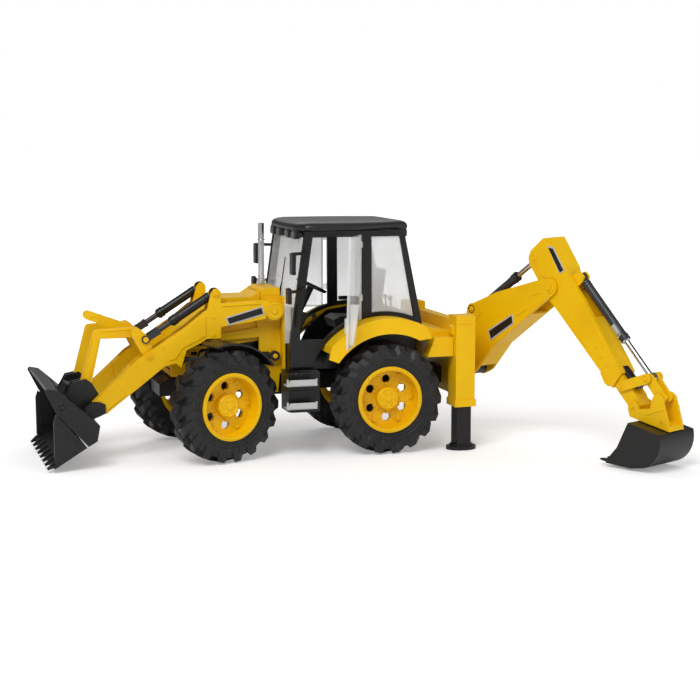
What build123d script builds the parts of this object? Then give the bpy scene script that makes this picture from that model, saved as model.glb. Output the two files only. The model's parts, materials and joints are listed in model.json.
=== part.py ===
"""Toy backhoe loader, about 1:16, in millimetres.

+X is forward, +Y is the machine's left, +Z is up.  The origin is on the
ground under the middle of the rear axle.  Shapes seen from the side are
drawn on planes that face left, and the backhoe's shapes are drawn on its
swing plane, where the first coordinate is the reach from the kingpost axis
and the second is the height.
"""
from build123d import *
import os
from math import atan2, cos, degrees, hypot, radians, sin, sqrt

# ---------------------------------------------------------------- fits
PIN_R = 3.0              # the thick pins and stub axles
SMALL_PIN_R = 2.0        # the linkage pins
RUN = 0.05               # radial clearance of a pin in its bore
SIDE = 0.3               # gap between faces that slide past each other
WALL = 1.8               # moulded wall

# ---------------------------------------------------------------- wheels
WHEEL_R = 46.5           # out to the tips of the lugs
LUG_H = 3.9              # from the groove's floor to the tip
LUGS = 18                # on either side of the tread
TYRE_W = 27.0
RIM_R = 27.7             # the rim's flange
BEAD_R = 25.6            # where the tyre sits on the rim
RIM_W = 23.0
DISC_IN = 1.0            # the wheel disc's outer face, from the middle plane
DISC_T = 3.0
HUB_R = 9.5
HUB_OUT = 6.5            # how far the hub stands out from the disc
HUB_CAP = 3.0            # closed outer wall of the hub
SPOKE_HOLES = 6
SPOKE_HOLE_R = 3.6
SPOKE_RING_R = 16.0
OUTER_Y = 72.75          # outer face of the tyres, from the middle plane
WHEEL_Y = OUTER_Y - TYRE_W / 2
AXLE_Z = WHEEL_R

# ---------------------------------------------------------------- axles
KINGPIN_X = 144.0
KINGPIN_Y = 40.0
STEER_REST = 19.0        # the front wheels are turned this far to the left
AXLE_BEAM_H = 12.0
KNUCKLE_H = 4.0
GUARD_GAP = 3.5          # mudguard inner radius beyond the tyre
GUARD_T = 1.6
GUARD_W = 24.0
GUARD_FROM = 75.0        # degrees round from forward
GUARD_TO = 143.0

# ---------------------------------------------------------------- frame and bonnet
FRAME_HALF = 15.0
FRAME_LOW = 50.0
FRAME_TOP = 64.0
FRAME_FRONT = 172.0
FRAME_REAR = -65.8
HOOD_HALF = 21.0
HOOD_REAR = 81.2
COWL_LENGTH = 16.8
COWL_FRONT = HOOD_REAR + COWL_LENGTH
HOOD_SEAM = COWL_FRONT + 0.4       # the bonnet's rear edge; it hinges here, along its top
CROWN_RUN = 7.6          # from the seam forward to the flat of the bonnet
SEAM_TOP = 135.5
HOOD_FRONT = 174.0
HOOD_TOP = 137.5
HOOD_WALL = 1.5
HINGE_TUBE_R = 1.5       # the tube that the bonnet turns on
HINGE_TUBE_HALF = 15.0
LOUVRES = (91.0, 94.6, 98.2, 101.8)
GRILLE_BARS = (70.0, 74.0, 78.0, 82.0, 86.0)

# ---------------------------------------------------------------- loader
ARM_PIVOT = (89.7, 119.9)          # x, z
ARM_IN = 23.5                      # inner and outer faces of the arms
ARM_OUT = 36.0
TILT_Y = 29.5                      # middle of the cylinders, cranks and channels
TILT_BASE = (138.9, 135.9)
BUCKET_PIVOT = (236.0, 45.0)
BUCKET_LINK = (245.2, 63.0)
CRANK_TOP = (204.0, 104.5)
CRANK_PIVOT = (CRANK_TOP[0] - BUCKET_LINK[0] + BUCKET_PIVOT[0],
               CRANK_TOP[1] - BUCKET_LINK[1] + BUCKET_PIVOT[1])
CRANK_EYE = (196.9, 99.4)
LIFT_BASE = (88.0, 81.5)
LIFT_EYE = (168.4, 81.1)
CRANK_T = 4.0
LINK_T = 4.0
LINK_OUT_Y = ARM_IN - SIDE
TUBE_R = 2.6
BUCKET_HALF = 66.0
BUCKET_T = 2.4
CLAM_PIVOT = (269.5, 52.5)
TEETH = 8
SPILL_SLOTS = (15.0, 46.0)

# ---------------------------------------------------------------- cylinders
BARREL_R = 3.7
ROD_R = 2.3
EYE_R = 4.2
EYE_HALF = 2.0
GLAND = 5.0
NECK_R = 1.7             # between the base eye and the tube
STUB_GAP = 2.8           # the pins at the rods' eyes stop this far from the middle

# ---------------------------------------------------------------- cab
CAB_HALF = 52.0
CAB_SKIN = 3.5
CAB_TOP = 186.0
RAIL = 5.0               # the frame's rail along the roof
ROOF_T = 7.7
LAMP_ROWS = (14.0, 35.0)           # front lamps, from the middle
REAR_LAMP_Y = 31.0
FLOOR_Z = 74.0
FLOOR_T = 3.0
FENDER_R = 68.0
FENDER_IN_R = 55.0
FENDER_OUT_Y = 72.0
FENDER_IN_Y = 44.0
BAND_T = 3.5
GLASS_T = 1.2
DOOR_GAP = 6.2           # between the doors and the wheel arches
DOOR_REST = 60.0         # how far the left door stands open
DOOR_HINGE = (19.8, CAB_HALF + 1.4)          # x, y of the left door's hinge line

# ---------------------------------------------------------------- rear
LEG_X = -66.5
LEG_Y = 62.5
HOUSING = (17.0, 19.0)             # along x, along y
HOUSING_LOW = 37.4
HOUSING_TOP = 114.4
LEG = (12.4, 14.4)
FOOT_T = 3.0
CARRIAGE_X = -75.5
CARRIAGE_T = 4.0
CARRIAGE_HALF = 20.0
POST_X = -92.0
POST_R = 7.0
POST_LOW = 49.3
POST_TOP = 96.7
LUG_T = 5.0
SWING = 63.0             # the boom's swing to the left, at rest

# ------------------------------------------------ backhoe, (reach, height)
BOOM_FOOT = (14.0, 62.0)
BOOM_HEAD = (106.0, 139.4)
BOOM_HALF = 12.0
BOOM_PLATE = 2.2
BOOM_RAM_BASE = (13.0, 90.0)
BOOM_RAM_EYE = (66.0, 120.0)
DIP_RAM_BASE = (20.0, 114.6)
DIP_RAM_EYE = (85.0, 162.0)
DIP_HALF = 9.0
DIP_WALL = 1.6
DIP_ANGLE = 46.6         # the dipper points this far below the horizontal
# along the dipper from the boom's head, and up across it
DIP_END = 100.4
EXT_START = 5.2
EXT_STROKE = 30.0
EAR_T = 2.5
EAR_END = 15.4
EXT_LOW = -5.1
EXT_HIGH = 6.7
BUCKET_RAM_BASE = (10.9, 24.1)
BUCKET_RAM_EYE = (114.9, 24.1)
LEVER_PIVOT = (105.0, 1.0)
HOE_PIVOT = (124.0, 0.0)
HOE_LINK = (BUCKET_RAM_EYE[0] + HOE_PIVOT[0] - LEVER_PIVOT[0],
            BUCKET_RAM_EYE[1] + HOE_PIVOT[1] - LEVER_PIVOT[1])
HOE_HALF = 22.5
HOE_T = 2.0
LINK_PLATE = 2.8
# ---------------------------------------------------------------- end of sizes

os.makedirs("parts", exist_ok=True)


# ---------------------------------------------------------------- planes
def side_plane(y):
    """Plane that faces right, through y: its sketch axes are X and Z."""
    return Plane.XZ.offset(-y)


SWING_AXIS = (-cos(radians(SWING)), sin(radians(SWING)))


def hoe_plane(across):
    """The swing plane, moved sideways: its sketch axes are reach and height."""
    normal = (SWING_AXIS[1], -SWING_AXIS[0])
    return Plane(
        origin=(POST_X + across * normal[0], across * normal[1], 0),
        x_dir=(SWING_AXIS[0], SWING_AXIS[1], 0),
        z_dir=(normal[0], normal[1], 0),
    )


def dip_point(along, up):
    """Reach and height of a point given along and across the dipper."""
    c, s = cos(radians(DIP_ANGLE)), sin(radians(DIP_ANGLE))
    return (BOOM_HEAD[0] + along * c + up * s, BOOM_HEAD[1] - along * s + up * c)


def wheel_plane(side, steer=0.0, front=False):
    """Plane through a wheel's centre: its x runs outwards along the axle, its y up."""
    turn = radians(steer)
    out = (-side * sin(turn), side * cos(turn), 0)
    if front:
        reach = WHEEL_Y - KINGPIN_Y
        centre = (KINGPIN_X + out[0] * reach, side * KINGPIN_Y + out[1] * reach, AXLE_Z)
    else:
        centre = (0, side * WHEEL_Y, AXLE_Z)
    return Plane(origin=centre, x_dir=out, z_dir=(out[1], -out[0], 0))


# ---------------------------------------------------------------- wheels
# the tread, from its middle plane out to the rim
TREAD = (
    # half width, lug radius, groove radius, how far the lugs trail in degrees
    (1.2, WHEEL_R, WHEEL_R - LUG_H, 0.0),
    (10.4, WHEEL_R - 0.6, WHEEL_R - LUG_H - 0.5, 9.0),
    (TYRE_W / 2, WHEEL_R - 6.5, WHEEL_R - 10.0, 12.5),
    (RIM_W / 2, RIM_R + 0.5, RIM_R + 0.5, 12.5),
)
# where a lug and the next groove begin and end, in shares of one pitch
LUG_SHARES = (0.05, 0.41)
GROOVE_SHARES = (0.55, 0.91)


def tread_ring(plane, side, station):
    """Corners round the tyre at one station: lugs on one half face grooves on the other."""
    half, lug_r, groove_r, trail = station
    left = plane.x_dir if plane.x_dir.Y > 0 else -plane.x_dir
    up = Vector(0, 0, 1)
    ahead = left.cross(up)
    corners = []
    for pitch in range(LUGS):
        for shares, lug_side in ((LUG_SHARES, 1), (GROOVE_SHARES, -1)):
            for share in shares:
                turn = radians(360 / LUGS * (pitch + share - LUG_SHARES[1]) + 180 - trail)
                radius = lug_r if lug_side == side else groove_r
                corners.append(plane.origin + left * (side * half)
                               + ahead * (radius * sin(turn)) + up * (radius * cos(turn)))
    return corners


def make_tyre(plane, label):
    """A tyre with a chevron of tall lugs, bored for the rim."""
    rings = [tread_ring(plane, -1, station) for station in reversed(TREAD)]
    rings += [tread_ring(plane, 1, station) for station in TREAD]
    faces = [Face(Wire.make_polygon(rings[0])), Face(Wire.make_polygon(rings[-1]))]
    for near, far in zip(rings, rings[1:]):
        for k in range(len(near)):
            faces.append(Face(Wire.make_polygon((near[k - 1], near[k], far[k]))))
            faces.append(Face(Wire.make_polygon((near[k - 1], far[k], far[k - 1]))))
    across = Plane(origin=plane.origin, x_dir=plane.y_dir, z_dir=plane.x_dir)
    with BuildPart() as tyre:
        add(Solid(Shell(faces)))
        with BuildSketch(across.offset(-TYRE_W)):
            Circle(BEAD_R)
        extrude(amount=2 * TYRE_W, mode=Mode.SUBTRACT)
    tyre.part.label = label
    export_step(tyre.part, f"parts/{label}.step")


def make_rim(plane, label):
    """A deep rim with its disc, hub and spoke holes, bored for the stub axle."""
    half = RIM_W / 2
    inner = BEAD_R - WALL
    hub_face = DISC_IN + HUB_OUT
    with BuildPart() as rim:
        with BuildSketch(plane):
            with BuildLine():
                Polyline(
                    (DISC_IN - DISC_T, PIN_R + RUN), (hub_face - HUB_CAP, PIN_R + RUN),
                    (hub_face - HUB_CAP, 0), (hub_face, 0), (hub_face, HUB_R - 1), (hub_face - 1, HUB_R),
                    (DISC_IN, HUB_R), (DISC_IN, inner), (half + 1.4, inner + 0.8), (half + 1.4, RIM_R),
                    (half + 0.05, RIM_R), (half + 0.05, BEAD_R - 0.05), (-half - 0.05, BEAD_R - 0.05),
                    (-half - 0.05, RIM_R), (-half - 1.4, RIM_R), (-half - 1.4, inner + 0.8),
                    (DISC_IN - DISC_T, inner), close=True,
                )
            make_face()
        revolve(axis=Axis(plane.origin, plane.x_dir))
        face_plane = Plane(origin=plane.origin, x_dir=plane.y_dir, z_dir=plane.x_dir).offset(DISC_IN)
        with BuildSketch(face_plane):
            with PolarLocations(SPOKE_RING_R, SPOKE_HOLES):
                Circle(SPOKE_HOLE_R)
        extrude(amount=-DISC_T - 1, mode=Mode.SUBTRACT)
    rim.part.label = label
    export_step(rim.part, f"parts/{label}.step")


for end, front, turn in (("rear", False, 0.0), ("front", True, STEER_REST)):
    for name, side in (("left", 1), ("right", -1)):
        here = wheel_plane(side, turn, front)
        make_tyre(here, f"tyre_{end}_{name}")
        make_rim(here, f"rim_{end}_{name}")

# ---------------------------------------------------------------- axles and steering
STUB_END = DISC_IN + HUB_OUT - HUB_CAP - 0.4     # the stub axles end here, from the wheel's middle
REAR_STUB = WHEEL_Y + STUB_END
with BuildPart() as rear_axle:
    with BuildSketch(side_plane(-OUTER_Y + TYRE_W - 1.5)):
        with Locations((0, AXLE_Z)):
            Circle(7.5)
    extrude(amount=-2 * (OUTER_Y - TYRE_W - 1.5))
    with BuildSketch(side_plane(-REAR_STUB)):
        with Locations((0, AXLE_Z)):
            Circle(PIN_R)
    extrude(amount=-2 * REAR_STUB)
    with BuildSketch(side_plane(-12)):
        with Locations((0, AXLE_Z)):
            Circle(11)
    extrude(amount=-24)
rear_axle.part.label = "rear_axle"
export_step(rear_axle.part, "parts/rear_axle.step")

with BuildPart() as front_axle:
    with BuildSketch(Plane.XY.offset(AXLE_Z - AXLE_BEAM_H / 2)):
        with Locations((KINGPIN_X, 0)):
            Rectangle(11, 2 * KINGPIN_Y)
        with Locations((KINGPIN_X, KINGPIN_Y), (KINGPIN_X, -KINGPIN_Y)):
            Circle(5.5)
        with Locations((KINGPIN_X, KINGPIN_Y), (KINGPIN_X, -KINGPIN_Y)):
            Circle(SMALL_PIN_R + RUN, mode=Mode.SUBTRACT)
    extrude(amount=AXLE_BEAM_H)
front_axle.part.label = "front_axle"
export_step(front_axle.part, "parts/front_axle.step")


def make_knuckle(side, name):
    """Steering knuckle: a yoke round the beam's end, its kingpin and the stub axle."""
    plane = wheel_plane(side, STEER_REST, True)
    reach = WHEEL_Y - KINGPIN_Y
    yoke = AXLE_BEAM_H / 2 + SIDE
    web_in = 6.6
    level = Plane(origin=(KINGPIN_X, side * KINGPIN_Y, AXLE_Z), x_dir=plane.x_dir, z_dir=(0, 0, 1))
    with BuildPart() as knuckle:
        for low in (-yoke - KNUCKLE_H, yoke):
            with BuildSketch(level.offset(low)):
                Circle(5.0)
                with Locations((web_in / 2 + 1.5, 0)):
                    Rectangle(web_in + 3, 10)
            extrude(amount=KNUCKLE_H)
        with BuildSketch(level.offset(-yoke - 1)):
            with Locations((web_in + 1.5, 0)):
                Rectangle(3, 10)
        extrude(amount=2 * yoke + 2)
        with BuildSketch(level.offset(-yoke - 1)):
            Circle(SMALL_PIN_R)
        extrude(amount=2 * yoke + 2)
        stub = Plane(origin=plane.origin, x_dir=plane.y_dir, z_dir=plane.x_dir).offset(web_in - reach)
        with BuildSketch(stub):
            Circle(PIN_R)
        extrude(amount=reach - web_in + STUB_END)
        # the mudguard, curved over the wheel
        inner = WHEEL_R + GUARD_GAP
        ahead = Plane(origin=plane.origin, x_dir=(cos(radians(STEER_REST)), sin(radians(STEER_REST)), 0),
                      z_dir=(sin(radians(STEER_REST)), -cos(radians(STEER_REST)), 0))
        with BuildSketch(ahead.offset(-GUARD_W / 2)):
            with BuildLine():
                CenterArc((0, 0), inner, GUARD_FROM, GUARD_TO - GUARD_FROM)
                CenterArc((0, 0), inner + GUARD_T, GUARD_FROM, GUARD_TO - GUARD_FROM)
                for a in (GUARD_FROM, GUARD_TO):
                    Line((inner * cos(radians(a)), inner * sin(radians(a))),
                         ((inner + GUARD_T) * cos(radians(a)), (inner + GUARD_T) * sin(radians(a))))
            make_face()
        extrude(amount=GUARD_W)
        # its stay stands on the knuckle, close to the kingpin
        inboard = side * (reach - 1.0)
        with BuildSketch(ahead.offset(inboard - 1.5)):
            with BuildLine():
                Polyline((-4, yoke + KNUCKLE_H - 1), (4, yoke + KNUCKLE_H - 1), (4, inner + GUARD_T),
                         (-6, inner + GUARD_T), close=True)
            make_face()
        extrude(amount=3)
        near, far = sorted((side * (GUARD_W / 2 - 1), inboard))
        with BuildSketch(ahead.offset(near)):
            with Locations((-1, inner + GUARD_T / 2)):
                Rectangle(8, GUARD_T)
        extrude(amount=far - near)
    knuckle.part.label = f"knuckle_{name}"
    export_step(knuckle.part, f"parts/knuckle_{name}.step")


for name, side in (("left", 1), ("right", -1)):
    make_knuckle(side, name)


# ---------------------------------------------------------------- small builders
def keep(builder, label):
    """Name a finished piece and write it."""
    builder.part.label = label
    export_step(builder.part, f"parts/{label}.step")


def outline(points):
    """A closed face through the points, inside a sketch."""
    with BuildLine() as loop:
        Polyline(*points, close=True)
    make_face(loop.edges())


def along(start, end, distance):
    """The point at a distance from start towards end."""
    length = hypot(end[0] - start[0], end[1] - start[1])
    return (start[0] + (end[0] - start[0]) * distance / length,
            start[1] + (end[1] - start[1]) * distance / length)


def ram_plane(plane, start, end):
    """Plane at start, square to the ram that runs to end on the given plane."""
    origin = plane.from_local_coords(Vector(start[0], start[1], 0))
    tip = plane.from_local_coords(Vector(end[0], end[1], 0))
    return Plane(origin=origin, x_dir=plane.z_dir, z_dir=(tip - origin))


def rod_round(plane, point, radius, length, mode=Mode.ADD):
    """A round bar that starts on the plane, at a point of it."""
    with BuildSketch(plane) as section:
        with Locations(point):
            Circle(radius)
    extrude(section.sketch, amount=length, mode=mode)


def add_eye(plane, point, radius, half, bore):
    """An eye with its bore, centred on the plane."""
    rod_round(plane.offset(-half), point, radius, 2 * half)
    rod_round(plane.offset(-half), point, bore, 2 * half, Mode.SUBTRACT)


def add_barrel(plane, base, tip, length, pin):
    """The barrel of a ram: an eye at the base, a bored tube and its gland."""
    square = ram_plane(plane, base, tip)
    neck = EYE_R + 0.6
    rod_round(square.offset(pin + 1), (0, 0), NECK_R, neck - pin)
    rod_round(square.offset(neck), (0, 0), BARREL_R, length - neck - GLAND)
    rod_round(square.offset(length - GLAND), (0, 0), BARREL_R + 0.6, GLAND)
    rod_round(square.offset(EYE_R + 4), (0, 0), ROD_R + RUN, length, Mode.SUBTRACT)
    add_eye(plane, base, EYE_R, EYE_HALF, pin + RUN)


def add_rod(plane, base, tip, start):
    """The rod of a ram, from inside the barrel to the eye at the tip."""
    square = ram_plane(plane, base, tip)
    length = hypot(tip[0] - base[0], tip[1] - base[1])
    rod_round(square.offset(start), (0, 0), ROD_R, length - start)
    rod_round(plane.offset(-EYE_HALF), tip, EYE_R, 2 * EYE_HALF)


def add_pin(plane, point, radius, low, high):
    """A pin through a point of the plane, between two distances along its normal."""
    rod_round(plane.offset(low), point, radius, high - low)


def add_stubs(plane, point, radius, outer):
    """Two pin ends that face each other across a rod's eye."""
    for low in (STUB_GAP, -outer):
        rod_round(plane.offset(low), point, radius, outer - STUB_GAP)


def both_sides():
    """Add the mirror image of what is on the left."""
    mirror(about=Plane.XZ)


def slab(points, y_in, y_out, mode=Mode.ADD):
    """A plate on the left side: its outline in x and z, between two distances out."""
    with BuildSketch(side_plane(y_out)) as face:
        outline(points)
    extrude(face.sketch, amount=y_out - y_in, mode=mode)


def disc(point, radius, y_in, y_out, mode=Mode.ADD):
    """A round boss, pin or bore on the left side."""
    rod_round(side_plane(y_out), point, radius, y_out - y_in, mode)


# ---------------------------------------------------------------- frame and engine
with BuildPart() as main_frame:
    beam_low = AXLE_Z + AXLE_BEAM_H / 2 + SIDE
    slab([(FRAME_REAR, FRAME_LOW), (-14, FRAME_LOW), (-12, 60), (12, 60), (14, FRAME_LOW),
          (KINGPIN_X - 14, FRAME_LOW), (KINGPIN_X - 8, beam_low + 4), (KINGPIN_X + 8, beam_low + 4),
          (KINGPIN_X + 14, FRAME_LOW), (FRAME_FRONT, FRAME_LOW), (FRAME_FRONT, FRAME_TOP),
          (FRAME_REAR, FRAME_TOP)], -FRAME_HALF, FRAME_HALF)
    # the bumper
    slab([(FRAME_FRONT - 1, FRAME_LOW), (184, FRAME_LOW), (184, 60), (HOOD_FRONT + 2.5, FRAME_TOP),
          (FRAME_FRONT - 1, FRAME_TOP)], -20, 20)
    # the pivot block that carries the front axle
    with BuildSketch(Plane.XY.offset(AXLE_Z + AXLE_BEAM_H / 2)):
        with Locations((KINGPIN_X, 0)):
            Rectangle(14, 18)
    extrude(amount=8)
    # the saddle on the rear axle
    with BuildSketch(Plane.XY.offset(AXLE_Z + 11)):
        with Locations((0, 0)):
            Rectangle(18, 20)
    extrude(amount=4)
keep(main_frame, "main_frame")

with BuildPart() as engine:
    slab([(COWL_FRONT, FRAME_TOP), (162, FRAME_TOP), (162, 100), (140, 112), (COWL_FRONT, 112)], -13, 13)
keep(engine, "engine_block")

with BuildPart() as bonnet:
    slab([(HOOD_SEAM, 94), (150, 88), (160, 66), (HOOD_FRONT, 66), (HOOD_FRONT, 92), (165, 107),
          (131, 130.5), (HOOD_SEAM + CROWN_RUN, 130.5), (HOOD_SEAM, SEAM_TOP)], -HOOD_HALF, HOOD_HALF)
    slab([(HOOD_SEAM - 5, 60), (HOOD_FRONT - HOOD_WALL, 60), (HOOD_FRONT - HOOD_WALL, 91.5), (164, 105.4),
          (130.4, 129), (HOOD_SEAM + CROWN_RUN - 0.4, 129), (HOOD_SEAM - 5, SEAM_TOP + 1.4)],
         HOOD_WALL - HOOD_HALF, HOOD_HALF - HOOD_WALL, Mode.SUBTRACT)
    for side in (1, -1):
        y_in, y_out = sorted((side * (HOOD_HALF - 2 * HOOD_WALL), side * (HOOD_HALF + 1)))
        for low in LOUVRES:
            slab([(138, low), (161, low), (161, low + 2), (138, low + 2)], y_in, y_out, Mode.SUBTRACT)
    for low in GRILLE_BARS:
        slab([(HOOD_FRONT - 2 * HOOD_WALL, low), (HOOD_FRONT + 1, low), (HOOD_FRONT + 1, low + 2.4),
              (HOOD_FRONT - 2 * HOOD_WALL, low + 2.4)], -15, 15, Mode.SUBTRACT)
    disc((HOOD_SEAM, SEAM_TOP), HINGE_TUBE_R + 3 * RUN, -HINGE_TUBE_HALF - SIDE, HINGE_TUBE_HALF + SIDE,
         Mode.SUBTRACT)
keep(bonnet, "bonnet")

with BuildPart() as cowl:
    slab([(HOOD_REAR, 98), (COWL_FRONT, 98), (COWL_FRONT, SEAM_TOP), (COWL_FRONT - 3, HOOD_TOP),
          (HOOD_REAR, HOOD_TOP)],
         -HOOD_HALF, HOOD_HALF)
    slab([(HOOD_REAR + 1.5, 60), (COWL_FRONT + 5, 60), (COWL_FRONT + 5, SEAM_TOP - 5.8),
          (COWL_FRONT - 3.5, HOOD_TOP - HOOD_WALL - 0.4), (HOOD_REAR + 1.5, HOOD_TOP - HOOD_WALL - 0.4)],
         HOOD_WALL - HOOD_HALF, HOOD_HALF - HOOD_WALL, Mode.SUBTRACT)
    disc((HOOD_SEAM, SEAM_TOP), HINGE_TUBE_R, -HINGE_TUBE_HALF, HINGE_TUBE_HALF)
keep(cowl, "cowl")

# ---------------------------------------------------------------- loader frame
with BuildPart() as loader_frame:
    slab([(79.8, 66), (100, 66), (100, 97), (133, 95.5), (133, 101), (101, 105), (103, 112), (97, 131),
          (79.8, 131)],
         HOOD_HALF + 0.8, 24.6)
    slab([(79.8, 66), (82.2, 66), (82.2, 131), (79.8, 131)], 24, 33.5)
    disc(ARM_PIVOT, 9, 24, ARM_OUT - 3 - SIDE)
    disc(ARM_PIVOT, PIN_R, 24, ARM_OUT + 1.2)
    disc(LIFT_BASE, SMALL_PIN_R, 24, TILT_Y + EYE_HALF + 1.5)
    # the feet that stand on the main frame
    slab([(84, FRAME_LOW), (98, FRAME_LOW), (100, 70), (82, 70)], FRAME_HALF + 0.05, 24.6)
    both_sides()
keep(loader_frame, "loader_frame")

# ---------------------------------------------------------------- loader arms
arm_side = [(135, 98.6), (146.9, 98.6), (152.2, 95.3), (164, 89.8), (168.4, 75.5), (173, 79.5), (182.8, 76.8),
            (196.8, 65.9), (230, 40.5), (238, 39.3), (242, 45), (241, 50), (204.5, 83.5), (163.7, 109.6),
            (149.6, 120.7), (135, 129)]


with BuildPart() as arms:
    slab(arm_side, ARM_IN, ARM_OUT)
    # the bracket that carries the tilt ram
    slab([(135, 120), (147.5, 118), (143.2, 136), (140.5, 139.5), (137, 139.5), (134.8, 137)],
         ARM_IN, ARM_OUT)
    # the thin tail plate, back to the pivot
    slab([(137.4, 107.6), (97, 113.5), (93, 127), (98.7, 129), (135, 127.5), (140, 120)],
         ARM_OUT - 3, ARM_OUT)
    disc(ARM_PIVOT, 7.5, ARM_OUT - 3, ARM_OUT + 1.5)
    # open channel for the ram and the crank
    slab([(140, 102), (160, 96), (176, 86.5), (206, 69), (213, 86), (163, 130), (150, 145), (130, 145),
          (130, 128)], TILT_Y - 4.6, TILT_Y + 4.6, Mode.SUBTRACT)
    # slot for the eye of the lift ram
    slab([(158, 70), (158, 87), (173, 87), (178, 70)], TILT_Y - 2.6, TILT_Y + 2.6, Mode.SUBTRACT)
    # the tip is narrow, outside the bucket's hinge plates
    slab([(210, 30), (250, 30), (250, 76), (216, 76)], ARM_IN - 1, ARM_IN + 4, Mode.SUBTRACT)
    disc(ARM_PIVOT, PIN_R + RUN, ARM_OUT - 5, ARM_OUT + 3, Mode.SUBTRACT)
    disc(BUCKET_PIVOT, SMALL_PIN_R + RUN, ARM_IN, ARM_OUT + 1, Mode.SUBTRACT)
    for point in (TILT_BASE, CRANK_PIVOT):
        disc(point, SMALL_PIN_R, ARM_IN + 0.5, ARM_OUT - 0.5)
        disc(point, SMALL_PIN_R + 1.2, ARM_OUT - 0.5, ARM_OUT + 0.8)
    # half of the cross tube
    disc((190, 76), 3.2, 0, ARM_IN + 0.5)
    both_sides()
keep(arms, "loader_arms")

# ---------------------------------------------------------------- loader rams
TILT_BARREL = 43.0
FORK = 13.5
LIFT_BARREL = 50.0
ram_side = side_plane(TILT_Y)
for label, base, tip, length in (("lift", LIFT_BASE, LIFT_EYE, LIFT_BARREL),
                                 ("tilt", TILT_BASE, CRANK_EYE, TILT_BARREL)):
    with BuildPart() as barrels:
        add_barrel(ram_side, base, tip, length, SMALL_PIN_R)
        both_sides()
    keep(barrels, f"{label}_barrels")
    with BuildPart() as rods:
        if label == "lift":
            add_rod(ram_side, base, tip, EYE_R + 14)
        else:
            # the tilt rod ends in a fork round the crank
            square = ram_plane(ram_side, base, tip)
            full = hypot(tip[0] - base[0], tip[1] - base[1])
            with BuildSketch(square.offset(EYE_R + 14)):
                Circle(ROD_R)
            extrude(amount=full - FORK - EYE_R - 14 + 1)
            with BuildSketch(square.offset(full - FORK)):
                Rectangle(7.6, 6)
            extrude(amount=3)
            slope = degrees(atan2(base[1] - tip[1], base[0] - tip[0]))
            for edge in (2.3, -3.8):
                with BuildSketch(ram_side.offset(edge)):
                    with Locations(tip):
                        Circle(EYE_R - 0.8)
                    with Locations(along(tip, base, FORK / 2)):
                        Rectangle(FORK, 5.4, rotation=slope)
                extrude(amount=1.5)
        both_sides()
    keep(rods, f"{label}_rods")

# ---------------------------------------------------------------- bell-cranks and links
with BuildPart() as cranks:
    half = CRANK_T / 2 - 0.1
    with BuildSketch(side_plane(TILT_Y + half)):
        with BuildSketch(mode=Mode.PRIVATE) as crank_shape:
            for point, radius in ((CRANK_PIVOT, 4.2), (CRANK_TOP, 4.4), (CRANK_EYE, 3.4)):
                with Locations(point):
                    Circle(radius)
        make_hull(crank_shape.edges())
        with Locations(CRANK_PIVOT):
            Circle(SMALL_PIN_R + RUN, mode=Mode.SUBTRACT)
    extrude(amount=2 * half)
    # the cross tube that turns both links, with the hand lever in its middle
    disc(CRANK_TOP, TUBE_R, 0, TILT_Y)
    both_sides()
    lever_end = (239.3, 117.5)
    with BuildSketch(side_plane(4.0)):
        with BuildSketch(mode=Mode.PRIVATE) as lever_shape:
            with Locations(CRANK_TOP):
                Circle(3.6)
            with Locations(lever_end):
                Circle(3.6)
        make_hull(lever_shape.edges())
    extrude(amount=8.0)
keep(cranks, "bell_cranks")

link_elbow = (235.2, 104.0)
with BuildPart() as links:
    with BuildSketch(side_plane(LINK_OUT_Y)):
        for a, b, r0, r1 in ((CRANK_TOP, link_elbow, 4.4, 3.8), (link_elbow, BUCKET_LINK, 3.8, 4.6)):
            with BuildSketch(mode=Mode.PRIVATE) as run_shape:
                with Locations(a):
                    Circle(r0)
                with Locations(b):
                    Circle(r1)
            make_hull(run_shape.edges())
        with Locations(CRANK_TOP):
            Circle(TUBE_R + RUN, mode=Mode.SUBTRACT)
        with Locations(BUCKET_LINK):
            Circle(SMALL_PIN_R + RUN, mode=Mode.SUBTRACT)
    extrude(amount=LINK_T)
    both_sides()
keep(links, "bucket_links")

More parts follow.
